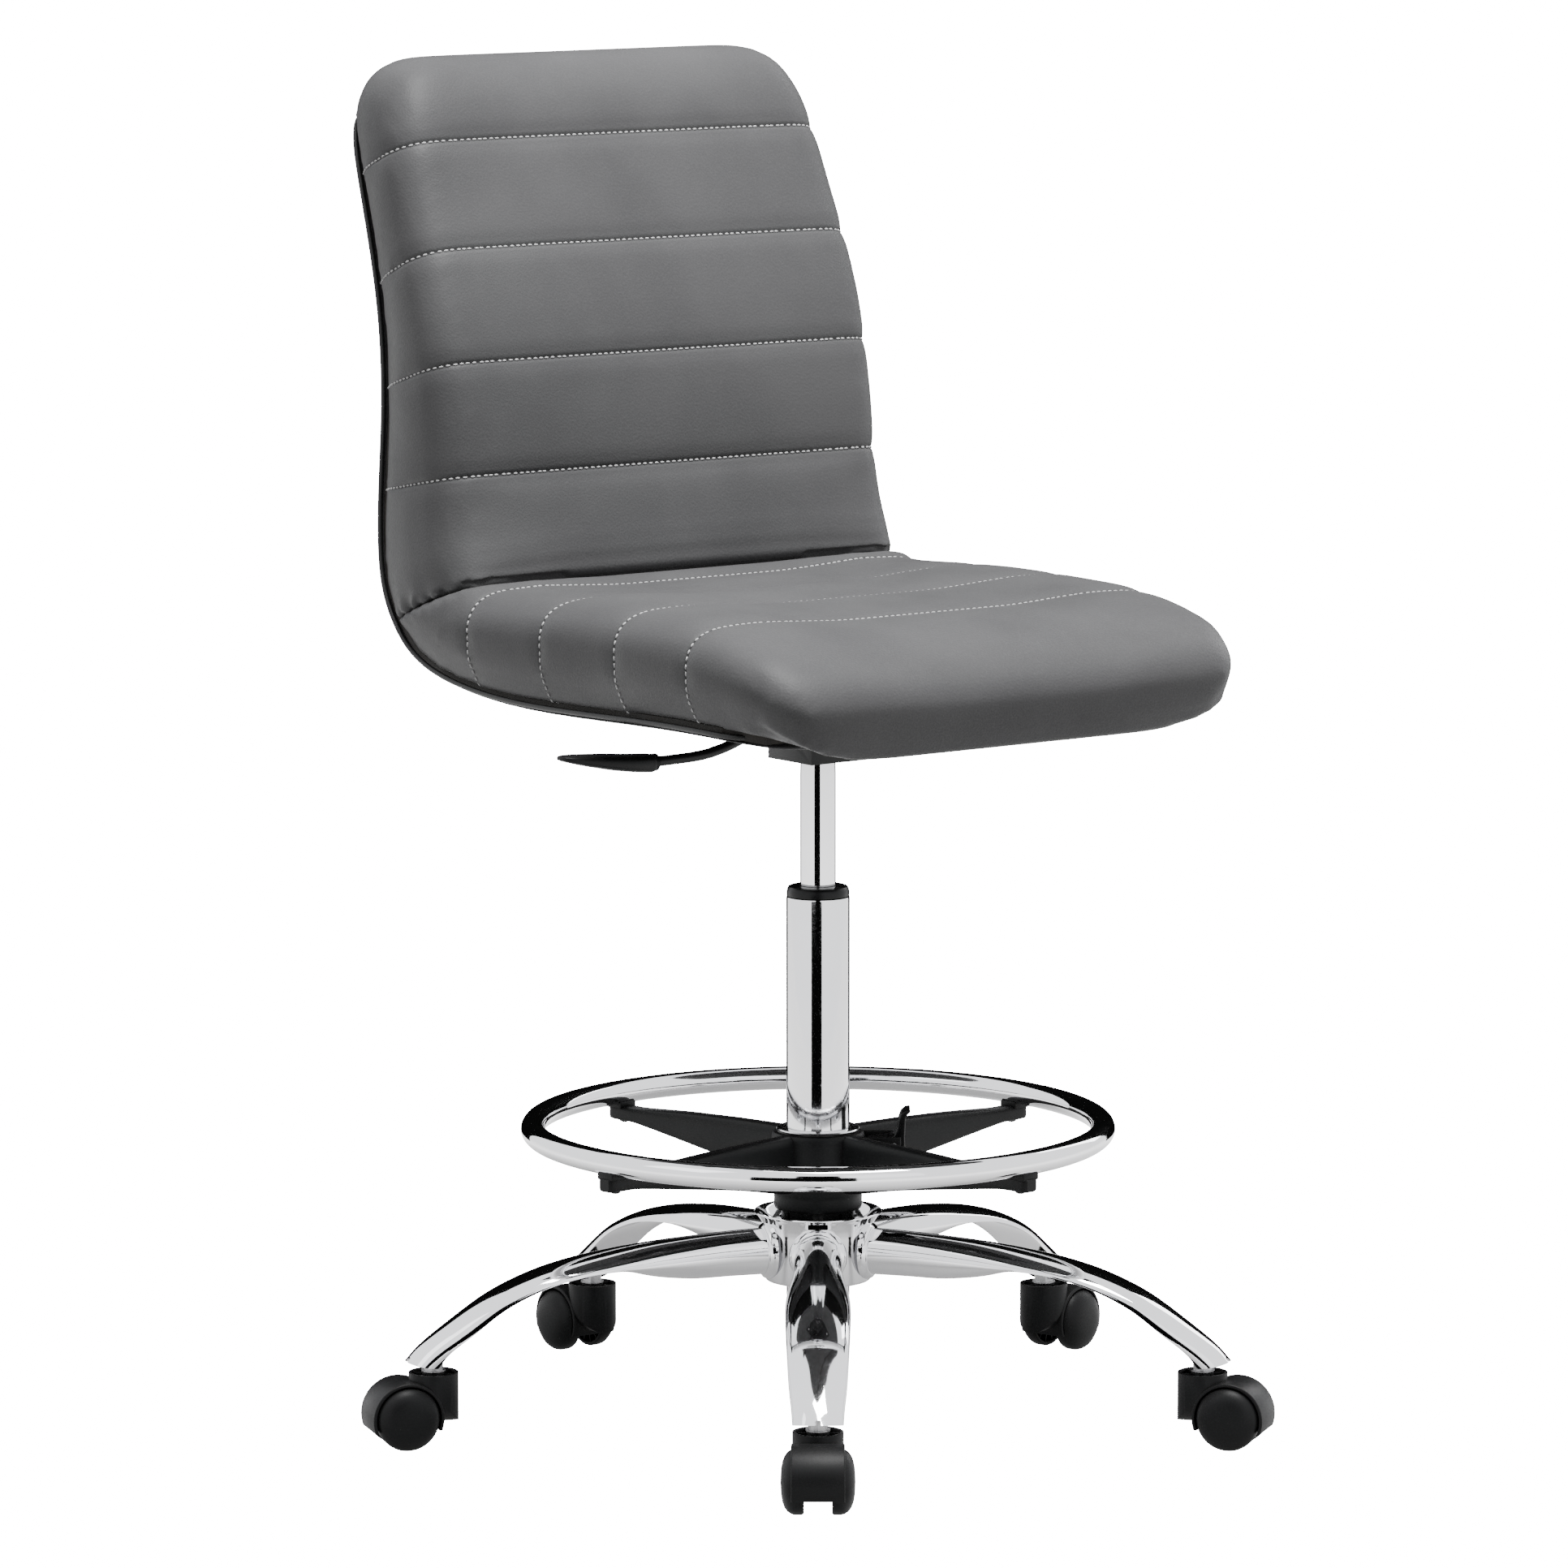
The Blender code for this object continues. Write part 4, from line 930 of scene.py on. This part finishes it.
# ---- base --------------------------------------------------------------------------------
@dataclass
class StarBase:
    """Chromed hub and five pressed arms with their weld collars."""

    sides: int = 40
    # Where an arm starts at the hub, in the same terms as the stations.
    root: tuple[float, ...] = (0.0426, 0.1559, 0.0426, 0.1190, 0.0187, 0.50, 0.0)
    # Radius and height of the top edge, of the bottom edge, half width, level of the widest
    # point and of the underside's middle, at stations along an arm.
    stations: tuple[tuple[float, ...], ...] = (
        (0.036, 0.1560, 0.036, 0.1190, 0.0187, 0.50, 0.00),
        (0.075, 0.1548, 0.075, 0.1190, 0.0190, 0.50, 0.00),
        (0.106, 0.1530, 0.106, 0.1190, 0.0195, 0.48, 0.00),
        (0.139, 0.1503, 0.139, 0.1220, 0.0215, 0.42, 0.05),
        (0.172, 0.1460, 0.168, 0.1270, 0.0240, 0.30, 0.20),
        (0.2055, 0.1400, 0.200, 0.1272, 0.0252, 0.18, 0.38),
        (0.2385, 0.1305, 0.230, 0.1205, 0.0250, 0.15, 0.38),
        (0.2715, 0.1160, 0.2605, 0.1065, 0.0240, 0.15, 0.35),
        (0.304, 0.0950, 0.286, 0.0865, 0.0225, 0.20, 0.20),
        (0.325, 0.0795, 0.302, 0.0720, 0.0205, 0.35, 0.10),
        (0.337, 0.0670, 0.311, 0.0620, 0.0195, 0.50, 0.00))

    def ring(self, row: Sequence[float], swell: float = 0.0) -> list[Vector]:
        """Section of an arm at one station, grown by a swell."""
        top, bottom = Vector((row[0], row[1])), Vector((row[2], row[3]))
        half, widest, under = row[4:7]
        reach = (top - bottom).normalized() * swell
        top, bottom = top + reach, bottom - reach
        points = []
        for k in range(self.sides):
            angle = TURN * k / self.sides
            rise = math.sin(angle)
            level = widest + ((1.0 - widest) if rise >= 0.0 else (widest - under)) * rise
            place = bottom + (top - bottom) * level
            points.append(Vector((place.x, (half + swell) * math.cos(angle), place.y)))
        return points

    def arm(self) -> Object:
        """Model one arm along +X, rounded over at its cut tip."""
        rows = [row for row in through(self.stations, 5) if row[0] >= self.root[0]]
        rows.insert(0, list(self.root))
        arm = loft("arm_pattern", [self.ring(row) for row in rows])
        soften(arm, 0.0011, 3, 50.0)
        boolean(arm, block("notch", (0.322, -0.0024, 0.055), (0.350, 0.0024, 0.0705), 0.0014))
        return smooth(arm, 40.0)

    def collar(self) -> Object:
        """Model the rolled weld collar at the root of an arm."""
        rings = []
        for out, swell in ((-0.0030, 0.0042), (0.0004, 0.0040), (0.0024, 0.0030),
                           (0.0036, 0.0014), (0.0042, 0.0001)):
            row = list(self.root)
            row[0] += out
            row[2] += out
            rings.append(self.ring(row, swell))
        return smooth(loft("collar_pattern", rings), 50.0)

    def hub(self) -> Object:
        """Model the hub: a flared cup on a plain wall, open for the column."""
        low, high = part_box("base_hub")
        bore = (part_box("column_tube")[1].x - AXIS.x) + 0.0005
        rim, wall = high.x - AXIS.x, 0.0420
        profile = ((rim - 0.0007, high.z), (rim, high.z - 0.0012), (0.0486, 0.1650),
                   (0.0462, 0.1618), (0.0442, 0.1585), (0.0429, 0.1548), (wall, 0.1500),
                   (wall, 0.1145), (0.0413, 0.1130), (0.0405, low.z), (bore, low.z),
                   (bore, 0.1500), (0.0380, 0.1500), (0.0396, 0.1560), (0.0420, 0.1602),
                   (0.0455, 0.1645), (0.0478, 0.1672))
        hub = turned("base_hub_chrome", profile, bevel=0.0003)
        stand(hub)
        return hub

    def build(self, paints: Paints) -> None:
        """Make the hub, the arms and their collars."""
        hub = self.hub()
        slot = block("hub_slot", (0.040, -0.0078, 0.1598), (0.060, 0.0078, 0.1645), 0.0008)
        slot.data.transform(heading(FIRST_ARM_DEG))
        boolean(hub, slot)
        dress(smooth(hub), paints.chrome, "base", Slot.CHROME, "base_hub")
        arm, collar = self.arm(), self.collar()
        for n in range(ARM_COUNT):
            turn = heading(FIRST_ARM_DEG + n * 360.0 / ARM_COUNT)
            made = copy_at(arm, f"base_arm_{n + 1}_chrome", turn)
            dress(made, paints.chrome, "base", Slot.CHROME, f"base_arm_{n + 1}")
            dress(copy_at(collar, f"weld_collar_{n + 1}", turn), paints.chrome, "base",
                  Slot.CHROME)
        discard(arm, collar)
        log.info("base: hub and %d arms", ARM_COUNT)


# ---- casters ---------------------------------------------------------------------------
@dataclass
class Casters:
    """Five casters: a swivel collar on a hood over two domed wheels."""

    radius: float = 0.315
    trail: float = 0.025
    axle: float = 0.025
    collar_radius: float = 0.0195
    collar_top: float = 0.058
    hood_radius: float = 0.0285
    hood_half: float = 0.0203
    pocket: float = 0.0262
    web: float = 0.0102

    def across(self) -> Matrix:
        """Frame of the axle: Z runs along it."""
        place = Matrix.Translation((self.trail, 0.0, self.axle))
        return place @ Matrix.Rotation(math.radians(90), 4, "X")

    def housing(self) -> Object:
        """Model the collar and hood in the caster's own frame."""
        collar = rod("housing_pattern", self.collar_radius, 0.0190, self.collar_top, 72)
        scoop = rod("scoop", self.collar_radius, -0.03, 0.03, 64,
                    Matrix.Translation((0.0, 0.0, 0.0385)) @ Matrix.Rotation(TURN / 4, 4, "Y"))
        above = block("above", (-0.03, -0.03, 0.0385), (0.03, 0.03, 0.07))
        boolean(scoop, above, "UNION")
        boolean(collar, scoop, "INTERSECT")
        hood = rod("hood", self.hood_radius, -self.hood_half, self.hood_half, 80, self.across())
        boolean(collar, soften(hood, 0.0011, 3), "UNION")
        for low, high in ((self.web, 0.034), (-0.034, -self.web)):
            boolean(collar, rod("pocket", self.pocket, low, high, 72, self.across()))
        boolean(collar, block("foot", (-0.04, -0.04, -0.01), (0.08, 0.04, 0.0152)))
        recess = turned("recess", ((0.0172, 0.070), (0.0172, 0.0510), (0.0088, 0.0510),
                                   (0.0088, 0.070)), 48)
        boolean(collar, recess)
        boolean(collar, rod("stem_bore", 0.0058, 0.031, 0.07, 32))
        soften(collar, 0.00045, 2, 50.0)
        ribs = rib_row(6, (0.0086, -0.0006, 0.0508), (0.0174, 0.0006, 0.0572), 0.5)
        return smooth(joined("housing_pattern", [collar, *ribs]), 38.0)

    def wheel(self) -> Object:
        """Model a wheel about Z: domed outside, hollow and ribbed inside."""
        profile = ((0.0, 0.0283), (0.0055, 0.0281), (0.0105, 0.0277), (0.0155, 0.0268),
                   (0.0195, 0.0252), (0.0225, 0.0229), (0.0243, 0.0202), (0.0250, 0.0175),
                   (0.0250, 0.0126), (0.0246, 0.0112), (0.0238, 0.0106), (0.0222, 0.0106),
                   (0.0216, 0.0112), (0.0212, 0.0165), (0.0075, 0.0165), (0.0072, 0.0110),
                   (0.0066, 0.0106), (0.0031, 0.0106), (0.0031, 0.0225), (0.0, 0.0225))
        wheel = turned("wheel_pattern", profile, 80, closed=False)
        ribs = rib_row(14, (0.0070, -0.0006, 0.0116), (0.0218, 0.0006, 0.0168))
        return smooth(joined("wheel_pattern", [wheel, *ribs]), 35.0)

    def build(self, paints: Paints) -> None:
        """Make the casters and stand them under the arms."""
        housing, wheel = self.housing(), self.wheel()
        for n in range(ARM_COUNT):
            place = heading(FIRST_ARM_DEG + n * 360.0 / ARM_COUNT, self.radius)
            body = f"caster_{n + 1}"
            made = copy_at(housing, f"{body}_hood", place)
            dress(made, paints.nylon, body, Slot.NYLON, f"caster_housing_{n + 1}")
            at_axle = place @ Matrix.Translation((self.trail, 0.0, self.axle))
            for side, degrees in (("left", -90.0), ("right", 90.0)):
                spin = Matrix.Rotation(math.radians(degrees), 4, "X")
                made = copy_at(wheel, f"{body}_{side}_wheel", at_axle @ spin)
                dress(made, paints.nylon, f"wheel_{n + 1}_{side}", Slot.NYLON,
                      f"caster_wheel_{n + 1}_{side}")
        discard(housing, wheel)
        log.info("casters: %d", ARM_COUNT)


# ---- column ----------------------------------------------------------------------------
@dataclass
class Column:
    """Chromed tubes of the gas lift and the bush between them."""

    bore: float = 0.0222

    def build(self, paints: Paints) -> None:
        """Make the tube, the bush and the cylinder."""
        low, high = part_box("column_tube")
        radius = high.x - AXIS.x
        tube = turned("column_tube_chrome", (
            (radius - 0.0008, high.z), (radius - 0.0002, high.z - 0.0003),
            (radius, high.z - 0.0010), (radius, low.z), (0.0055, low.z), (0.0055, low.z + 0.004),
            (self.bore, low.z + 0.004), (self.bore, high.z)))
        self.put(tube, paints.chrome, "base", Slot.CHROME, "column_tube")
        low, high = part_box("column_guide_bush")
        lip = high.z - 0.0078
        bush = turned("column_bush", (
            (0.0212, high.z), (0.0232, high.z - 0.0006), (0.0241, high.z - 0.0020),
            (0.0247, high.z - 0.0045), (0.0247, lip), (self.bore - 0.0004, lip),
            (self.bore - 0.0004, low.z), (0.0144, low.z), (0.0144, high.z - 0.0008),
            (0.0152, high.z)))
        self.put(bush, paints.gloss, "base", Slot.NYLON, "column_guide_bush")
        low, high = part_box("gas_cylinder")
        radius = high.x - AXIS.x
        cylinder = turned("gas_cylinder_chrome", (
            (0.0128, high.z), (0.0130, high.z - 0.0005), (radius, high.z - 0.033),
            (radius, low.z + 0.002), (radius - 0.0008, low.z), (0.0115, low.z),
            (0.0115, 0.5200), (0.0044, 0.5200), (0.0044, high.z)))
        self.put(cylinder, paints.chrome, "seat_unit", Slot.CHROME, "gas_cylinder")
        log.info("column: tube, bush and cylinder")

    def put(self, obj: Object, material: Material, body: str, slot: Slot, node: str) -> None:
        """Stand a turned piece on the column axis and dress it."""
        stand(obj)
        dress(obj, material, body, slot, node)


# ---- foot ring ---------------------------------------------------------------------------
@dataclass
class FootRing:
    """Chromed ring on a moulded hub with four spokes, a sleeve and a lock lever."""

    radius: float = 0.2245
    tube: float = 0.0095
    spokes: int = 4
    first_spoke: float = FIRST_ARM_DEG + 45.0
    lock_heading: float = FIRST_ARM_DEG + 90.0
    pivot: tuple[float, float, float] = (0.060, 0.0, 0.222)
    # Radius, bottom, top and half width at stations along a spoke.
    stations: tuple[tuple[float, ...], ...] = (
        (0.0300, 0.1850, 0.2312, 0.0092), (0.0480, 0.1868, 0.2308, 0.0088),
        (0.0900, 0.1950, 0.2298, 0.0084), (0.1500, 0.2040, 0.2272, 0.0080),
        (0.1950, 0.2105, 0.2240, 0.0080), (0.2080, 0.2118, 0.2236, 0.0082),
        (0.2250, 0.2120, 0.2236, 0.0082), (0.2300, 0.2122, 0.2234, 0.0074),
        (0.2325, 0.2130, 0.2226, 0.0050))

    def ring(self, paints: Paints) -> None:
        """Make the bent tube."""
        clear_selection()
        bpy.ops.mesh.primitive_torus_add(major_radius=self.radius, minor_radius=self.tube,
                                         major_segments=192, minor_segments=40)
        ring = named("foot_ring_chrome")
        ring.data.transform(Matrix.Translation((AXIS.x, AXIS.y, middle("foot_ring").z)))
        dress(smooth(ring, 60.0), paints.chrome, "ring_frame", Slot.CHROME, "foot_ring")

    def spoke(self) -> Object:
        """Model one spoke along +X with a softly rounded section."""
        rings = []
        for radius, bottom, top, half in through(self.stations, 3):
            centre, rise = (top + bottom) / 2.0, (top - bottom) / 2.0
            ring = []
            for k in range(24):
                angle = TURN * (k + 0.5) / 24
                ring.append(Vector((radius, half * squared(math.cos(angle)),
                                    centre + rise * squared(math.sin(angle)))))
            rings.append(ring)
        return loft("spoke_pattern", rings)

    def hub(self, paints: Paints) -> None:
        """Make the hub with its spokes, saddles and lugs."""
        low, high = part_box("ring_hub")
        body = turned("ring_hub_moulding", (
            (0.0338, high.z), (0.0352, high.z - 0.0006), (0.0362, high.z - 0.0022),
            (0.0366, 0.2270), (0.0362, 0.1850), (0.0352, 0.1828), (0.0348, 0.1800),
            (0.0347, 0.1725), (0.0340, low.z + 0.0004), (0.0332, low.z), (0.0294, low.z),
            (0.0294, high.z)))
        pattern = self.spoke()
        pieces = [body]
        for n in range(self.spokes):
            turn = Matrix.Rotation(math.radians(self.first_spoke + n * 90.0), 4, "Z")
            pieces.append(copy_at(pattern, f"spoke_{n}", turn))
            saddle = block(f"saddle_{n}", (0.2160, -0.0086, 0.2215), (0.2318, 0.0086, 0.2272),
                           0.0012, 3)
            saddle.data.transform(turn)
            pieces.append(saddle)
        discard(pattern)
        turn = Matrix.Rotation(math.radians(self.lock_heading), 4, "Z")
        for side in (-1.0, 1.0):
            near, far = sorted((side * 0.0133, side * 0.0163))
            lug = block("lug", (0.0335, near, 0.2055), (self.pivot[0] + 0.0052, far, 0.2285),
                        0.0010, 3)
            lug.data.transform(turn)
            pieces.append(lug)
        hub = smooth(joined("ring_hub_moulding", pieces), 38.0)
        stand(hub)
        dress(hub, paints.nylon, "ring_frame", Slot.NYLON, "ring_hub")

    def screws(self, paints: Paints) -> None:
        """Make the pan-head screws under the spoke ends."""
        head = turned("screw_pattern", ((0.0, 0.2098), (0.0022, 0.2100), (0.0038, 0.2108),
                                        (0.0043, 0.2121), (0.0, 0.2121)), 32, closed=False)
        made = []
        for n in range(self.spokes):
            turn = heading(self.first_spoke + n * 90.0, self.radius - 0.004)
            screw = copy_at(head, f"screw_{n}", turn)
            made.append(screw)
        discard(head)
        dress(joined("ring_screws", made), paints.coat, "ring_frame", Slot.BLACK_STEEL)

    def sleeve(self, paints: Paints) -> None:
        """Make the clamping sleeve with its slotted fingers and its bright top washer."""
        low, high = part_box("ring_sleeve")
        sleeve = turned("ring_sleeve_moulding", (
            (0.0318, high.z - 0.0012), (0.0330, high.z - 0.0018), (0.0330, 0.2318),
            (0.0290, 0.2318), (0.0290, low.z + 0.0008), (0.0284, low.z), (0.0256, low.z),
            (0.0256, high.z - 0.0012)))
        for n in range(4):
            slot = block("slot", (0.020, -0.0015, low.z - 0.01), (0.040, 0.0015, 0.1685), 0.0005)
            slot.data.transform(Matrix.Rotation(TURN * n / 4, 4, "Z"))
            boolean(sleeve, slot)
        stand(sleeve)
        dress(smooth(sleeve), paints.gloss, "ring_slider", Slot.NYLON, "ring_sleeve")
        washer = turned("sleeve_washer", (
            (0.0300, high.z), (0.0322, high.z - 0.0003), (0.0330, high.z - 0.0012),
            (0.0257, high.z - 0.0012), (0.0257, high.z)))
        stand(washer)
        dress(washer, paints.satin, "ring_slider", Slot.CHROME)

    def lock(self, paints: Paints) -> None:
        """Make the lock lever: a thin bent paddle, extruded across its width."""
        outline = ((-0.0220, -0.0030), (-0.0215, 0.0030), (-0.0060, 0.0050), (0.0000, 0.0068),
                   (0.0026, 0.0120), (0.0034, 0.0190), (0.0052, 0.0240), (0.0088, 0.0268),
                   (0.0122, 0.0274), (0.0128, 0.0256), (0.0102, 0.0236), (0.0088, 0.0200),
                   (0.0082, 0.0060), (0.0084, -0.0040), (0.0100, -0.0130), (0.0065, -0.0135),
                   (0.0020, -0.0052), (-0.0060, -0.0050))
        clear_selection()
        bpy.ops.mesh.primitive_circle_add(vertices=len(outline), fill_type="NGON")
        lever = named("lock_lever_moulding")
        for vertex, (out, up) in zip(lever.data.vertices, outline):
            vertex.co = (out, -0.0125, up)
        bpy.ops.object.mode_set(mode="EDIT")
        bpy.ops.mesh.select_all(action="SELECT")
        bpy.ops.mesh.extrude_region_move(TRANSFORM_OT_translate={"value": (0.0, 0.025, 0.0)})
        merge_and_orient()
        bpy.ops.object.mode_set(mode="OBJECT")
        soften(lever, 0.0009, 3, 30.0)
        lever.data.transform(heading(self.lock_heading) @ Matrix.Translation(self.pivot))
        dress(smooth(lever), paints.gloss, "ring_lock", Slot.NYLON, "lock_lever")

    def build(self, paints: Paints) -> None:
        """Make every piece of the foot ring."""
        self.ring(paints)
        self.hub(paints)
        self.screws(paints)
        self.sleeve(paints)
        self.lock(paints)
        log.info("foot ring: ring, hub with %d spokes, sleeve and lever", self.spokes)


def squared(value: float, power: float = 0.42) -> float:
    """Square up a cosine or sine while keeping its sign."""
    return math.copysign(abs(value) ** power, value)


# ---- seat mechanism ----------------------------------------------------------------------
@dataclass
class Mechanism:
    """Boxed plate under the seat and the height lever on its pin."""

    height: float = 0.5372
    rod_radius: float = 0.004
    # Outward and height along the bent rod.
    reach: tuple[tuple[float, float], ...] = (
        (0.005, 0.558), (-0.030, 0.558), (-0.045, 0.5578), (-0.058, 0.5550), (-0.080, 0.5465),
        (-0.100, 0.5410), (-0.122, 0.5382), (-0.170, 0.5372))
    # Outward, height, half width and half thickness along the paddle.
    paddle: tuple[tuple[float, float, float, float], ...] = (
        (0.1630, 0.5372, 0.0086, 0.0060), (0.1644, 0.5372, 0.0100, 0.0069),
        (0.1680, 0.5373, 0.0107, 0.0071), (0.1840, 0.5386, 0.0130, 0.0068),
        (0.2040, 0.5410, 0.0140, 0.0061), (0.2250, 0.5438, 0.0130, 0.0046),
        (0.2400, 0.5460, 0.0103, 0.0031), (0.2470, 0.5470, 0.0065, 0.0020),
        (0.2490, 0.5472, 0.0035, 0.0012))

    def build(self, paints: Paints) -> None:
        """Make the plate, the rod and the paddle."""
        plate = node_copy("seat_mechanism", "seat_mechanism_plate")
        edit_all(plate, bpy.ops.mesh.dissolve_limited, angle_limit=math.radians(1.0))
        smooth(soften(plate, 0.0006, 2, 40.0))
        dress(plate, paints.coat, "seat_unit", Slot.BLACK_STEEL, "seat_mechanism")
        self.rod(paints)
        self.handle(paints)
        log.info("mechanism: plate and lever")

    def rod(self, paints: Paints) -> None:
        """Make the bent rod as a row of rings along a smooth path."""
        path = [Vector((x, 0.0, z)) for x, z in through(self.reach, 5)]
        rings = []
        for n, place in enumerate(path):
            along = (path[min(n + 1, len(path) - 1)] - path[max(n - 1, 0)]).normalized()
            up = Vector((0.0, 1.0, 0.0)).cross(along)
            rings.append([place + Vector((0.0, self.rod_radius * math.cos(TURN * k / 20), 0.0))
                          + up * self.rod_radius * math.sin(TURN * k / 20) for k in range(20)])
        made = loft("lever_rod_bar", rings)
        stand(made)
        dress(smooth(made, 50.0), paints.coat, "height_lever", Slot.BLACK_STEEL, "lever_rod")

    def handle(self, paints: Paints) -> None:
        """Make the flat paddle with rounded edges and a small collar."""
        rings = []
        for out, height, half, depth in through(self.paddle, 4):
            rings.append([Vector((-out, half * squared(math.cos(TURN * k / 32), 0.62),
                                  height + depth * squared(math.sin(TURN * k / 32), 0.62)))
                          for k in range(32)])
        paddle = loft("paddle", rings)
        collar = turned("collar", ((0.0044, 0.0), (0.0062, 0.0), (0.0068, 0.0008),
                                   (0.0068, 0.0052), (0.0044, 0.0052)), 40)
        collar.data.transform(Matrix.Translation((-self.paddle[0][0] - 0.0005, 0.0, self.height))
                              @ Matrix.Rotation(TURN / 4, 4, "Y"))
        made = joined("lever_paddle_moulding", [paddle, collar])
        stand(made)
        dress(smooth(made, 40.0), paints.nylon, "height_lever", Slot.NYLON, "lever_paddle")


# ---- studio ------------------------------------------------------------------------------
@dataclass
class Studio:
    """Pale floor, soft lights and the camera."""

    camera_place: tuple[float, float, float] = (-3.966, -5.150, 1.412)
    pitch: float = 82.07
    turn: float = -37.6
    lens: float = 192.4
    shift: float = -0.0217
    floor_size: float = 90.0
    floor_glow: tuple[float, float, float] = (0.03, 1.8, 20.0)   # to lit, mirrored and seen rays
    floor_near: float = 0.45                                    # mirrored glow under the chair
    floor_reach: tuple[float, float] = (0.30, 1.10)             # mirrored glow under the chair, kept low there as painted shade
    room_glow: tuple[float, float] = (0.07, 1.9)                # to lit and mirrored rays
    aim: float = 0.55                                           # height that the lights look at
    # Name, place, width, power and height.
    lamps: tuple[tuple[str, Point, float, float, float], ...] = (
        ("key_light", (-3.0, 0.4, 3.0), 1.8, 14.0, 1.8),
        ("front_light", (-0.8, -4.4, 2.6), 2.4, 8.0, 2.4),
        ("side_light", (3.2, 0.9, 2.0), 1.2, 40.0, 2.0),
        ("top_light", (-0.1, -0.7, 3.6), 1.6, 225.0, 1.6))
    # Name, heading from the camera's, distance, width, height and level.
    cards: tuple[tuple[str, float, float, float, float, float], ...] = (
        ("card_high", 0.0, 3.0, 0.90, 1.9, 1.45), ("card_low", -5.0, 1.2, 0.80, 0.56, 0.30),
        ("card_behind", 180.0, 1.3, 2.2, 1.9, 0.8))

    def floor(self) -> None:
        """Make a wide pale floor."""
        clear_selection()
        bpy.ops.mesh.primitive_plane_add(size=self.floor_size, location=(0.0, 0.0, -0.0002))
        floor = settle(named("pale_floor"))
        material = bpy.data.materials.new("pale_floor")
        material.use_nodes = True
        tree = Tree(material.node_tree)
        shader = material.node_tree.nodes["Principled BSDF"]
        place = tree.add("TexCoord").outputs["Object"]
        cloud = tree.add("TexNoise", {"Vector": place, "Scale": 1.5, "Detail": 2.0})
        colour = tree.blend(cloud.outputs["Fac"], (0.34, 0.34, 0.34), (0.38, 0.38, 0.38))
        material.node_tree.links.new(colour, shader.inputs["Base Color"])
        shader.inputs["Roughness"].default_value = 0.9
        shader.inputs["Specular IOR Level"].default_value = 0.1
        shader.inputs["Emission Color"].default_value = (1.0, 1.0, 1.0, 1.0)
        ray = tree.add("LightPath")
        seen = tree.ranged(ray.outputs["Is Camera Ray"], self.floor_glow[0], self.floor_glow[2])
        away = tree.add("VectorMath", {0: place}, operation="LENGTH").outputs["Value"]
        # the glow seen in reflections is dimmed near the chair as painted shade under it
        near_dim = tree.ranged(away, self.floor_near, self.floor_glow[1], *self.floor_reach)
        mirrored = tree.add("Math", {0: ray.outputs["Is Glossy Ray"], 1: near_dim},
                            operation="MULTIPLY")
        glow = tree.sum_of(seen, mirrored.outputs[0], 1.0)
        material.node_tree.links.new(glow, shader.inputs["Emission Strength"])
        floor.data.materials.append(material)

    def light(self, name: str, place: Point, wide: float, power: float, tall: float) -> None:
        """Add one soft light that looks at the chair's middle."""
        way = Vector((AXIS.x, AXIS.y, self.aim)) - Vector(place)
        clear_selection()
        bpy.ops.object.light_add(type="AREA", location=place)
        lamp = named(name)
        lamp.rotation_euler = way.to_track_quat("-Z", "Y").to_euler()
        lamp.data.shape = "RECTANGLE"
        lamp.data.size = wide
        lamp.data.size_y = tall
        lamp.data.energy = power

    def card(self, name: str, degrees: float, away: float, wide: float, tall: float,
             level: float) -> None:
        """Stand a dark card round the chair, seen only in reflections.

        Args:
            name: Name of the card.
            degrees: Heading of the card, counted from the camera's own heading.
            away: Distance from the column axis.
            wide: Width.
            tall: Height.
            level: Height of its middle.
        """
        clear_selection()
        toward = math.degrees(math.atan2(self.camera_place[1], self.camera_place[0]))
        place = heading(toward + degrees, away, level).translation
        bpy.ops.mesh.primitive_plane_add(size=1.0, location=place)
        card = named(name)
        way = AXIS + Vector((0.0, 0.0, level)) - place
        card.rotation_euler = way.to_track_quat("Z", "Y").to_euler()
        card.scale = (wide, tall, 1.0)
        bpy.context.view_layer.update()
        settle(card)
        material = bpy.data.materials.new(name)
        material.use_nodes = True
        shader = material.node_tree.nodes["Principled BSDF"]
        shader.inputs["Base Color"].default_value = (0.004, 0.004, 0.004, 1.0)
        shader.inputs["Specular IOR Level"].default_value = 0.0
        card.data.materials.append(material)
        card.visible_camera = card.visible_diffuse = card.visible_shadow = False

    def build(self) -> None:
        """Set the stage, the lights and the camera."""
        self.floor()
        world = bpy.data.worlds.new("soft_room")
        bpy.context.scene.world = world
        world.use_nodes = True
        tree = Tree(world.node_tree)
        background = world.node_tree.nodes["Background"]
        background.inputs["Color"].default_value = (0.97, 0.98, 1.0, 1.0)
        ray = tree.add("LightPath")
        glow = tree.ranged(ray.outputs["Is Glossy Ray"], *self.room_glow)
        world.node_tree.links.new(glow, background.inputs["Strength"])
        for lamp in self.lamps:
            self.light(*lamp)
        for card in self.cards:
            self.card(*card)
        camera = bpy.data.cameras.new("camera")
        camera.lens, camera.sensor_width, camera.shift_x = self.lens, 36.0, self.shift
        view = bpy.data.objects.new("camera", camera)
        bpy.context.scene.collection.objects.link(view)
        view.location = AXIS + Vector(self.camera_place)
        view.rotation_euler = (math.radians(self.pitch), 0.0, math.radians(self.turn))
        bpy.context.scene.camera = view
        log.info("studio: floor, lights and camera")


def main() -> None:
    """Build every sub-assembly in order."""
    paints = Paints()
    paints.dress_nodes()
    Studio().build()
    for assembly in (Column(), StarBase(), Casters(), FootRing(), Mechanism(), Upholstery()):
        assembly.build(paints)


if __name__ == "__main__":
    main()
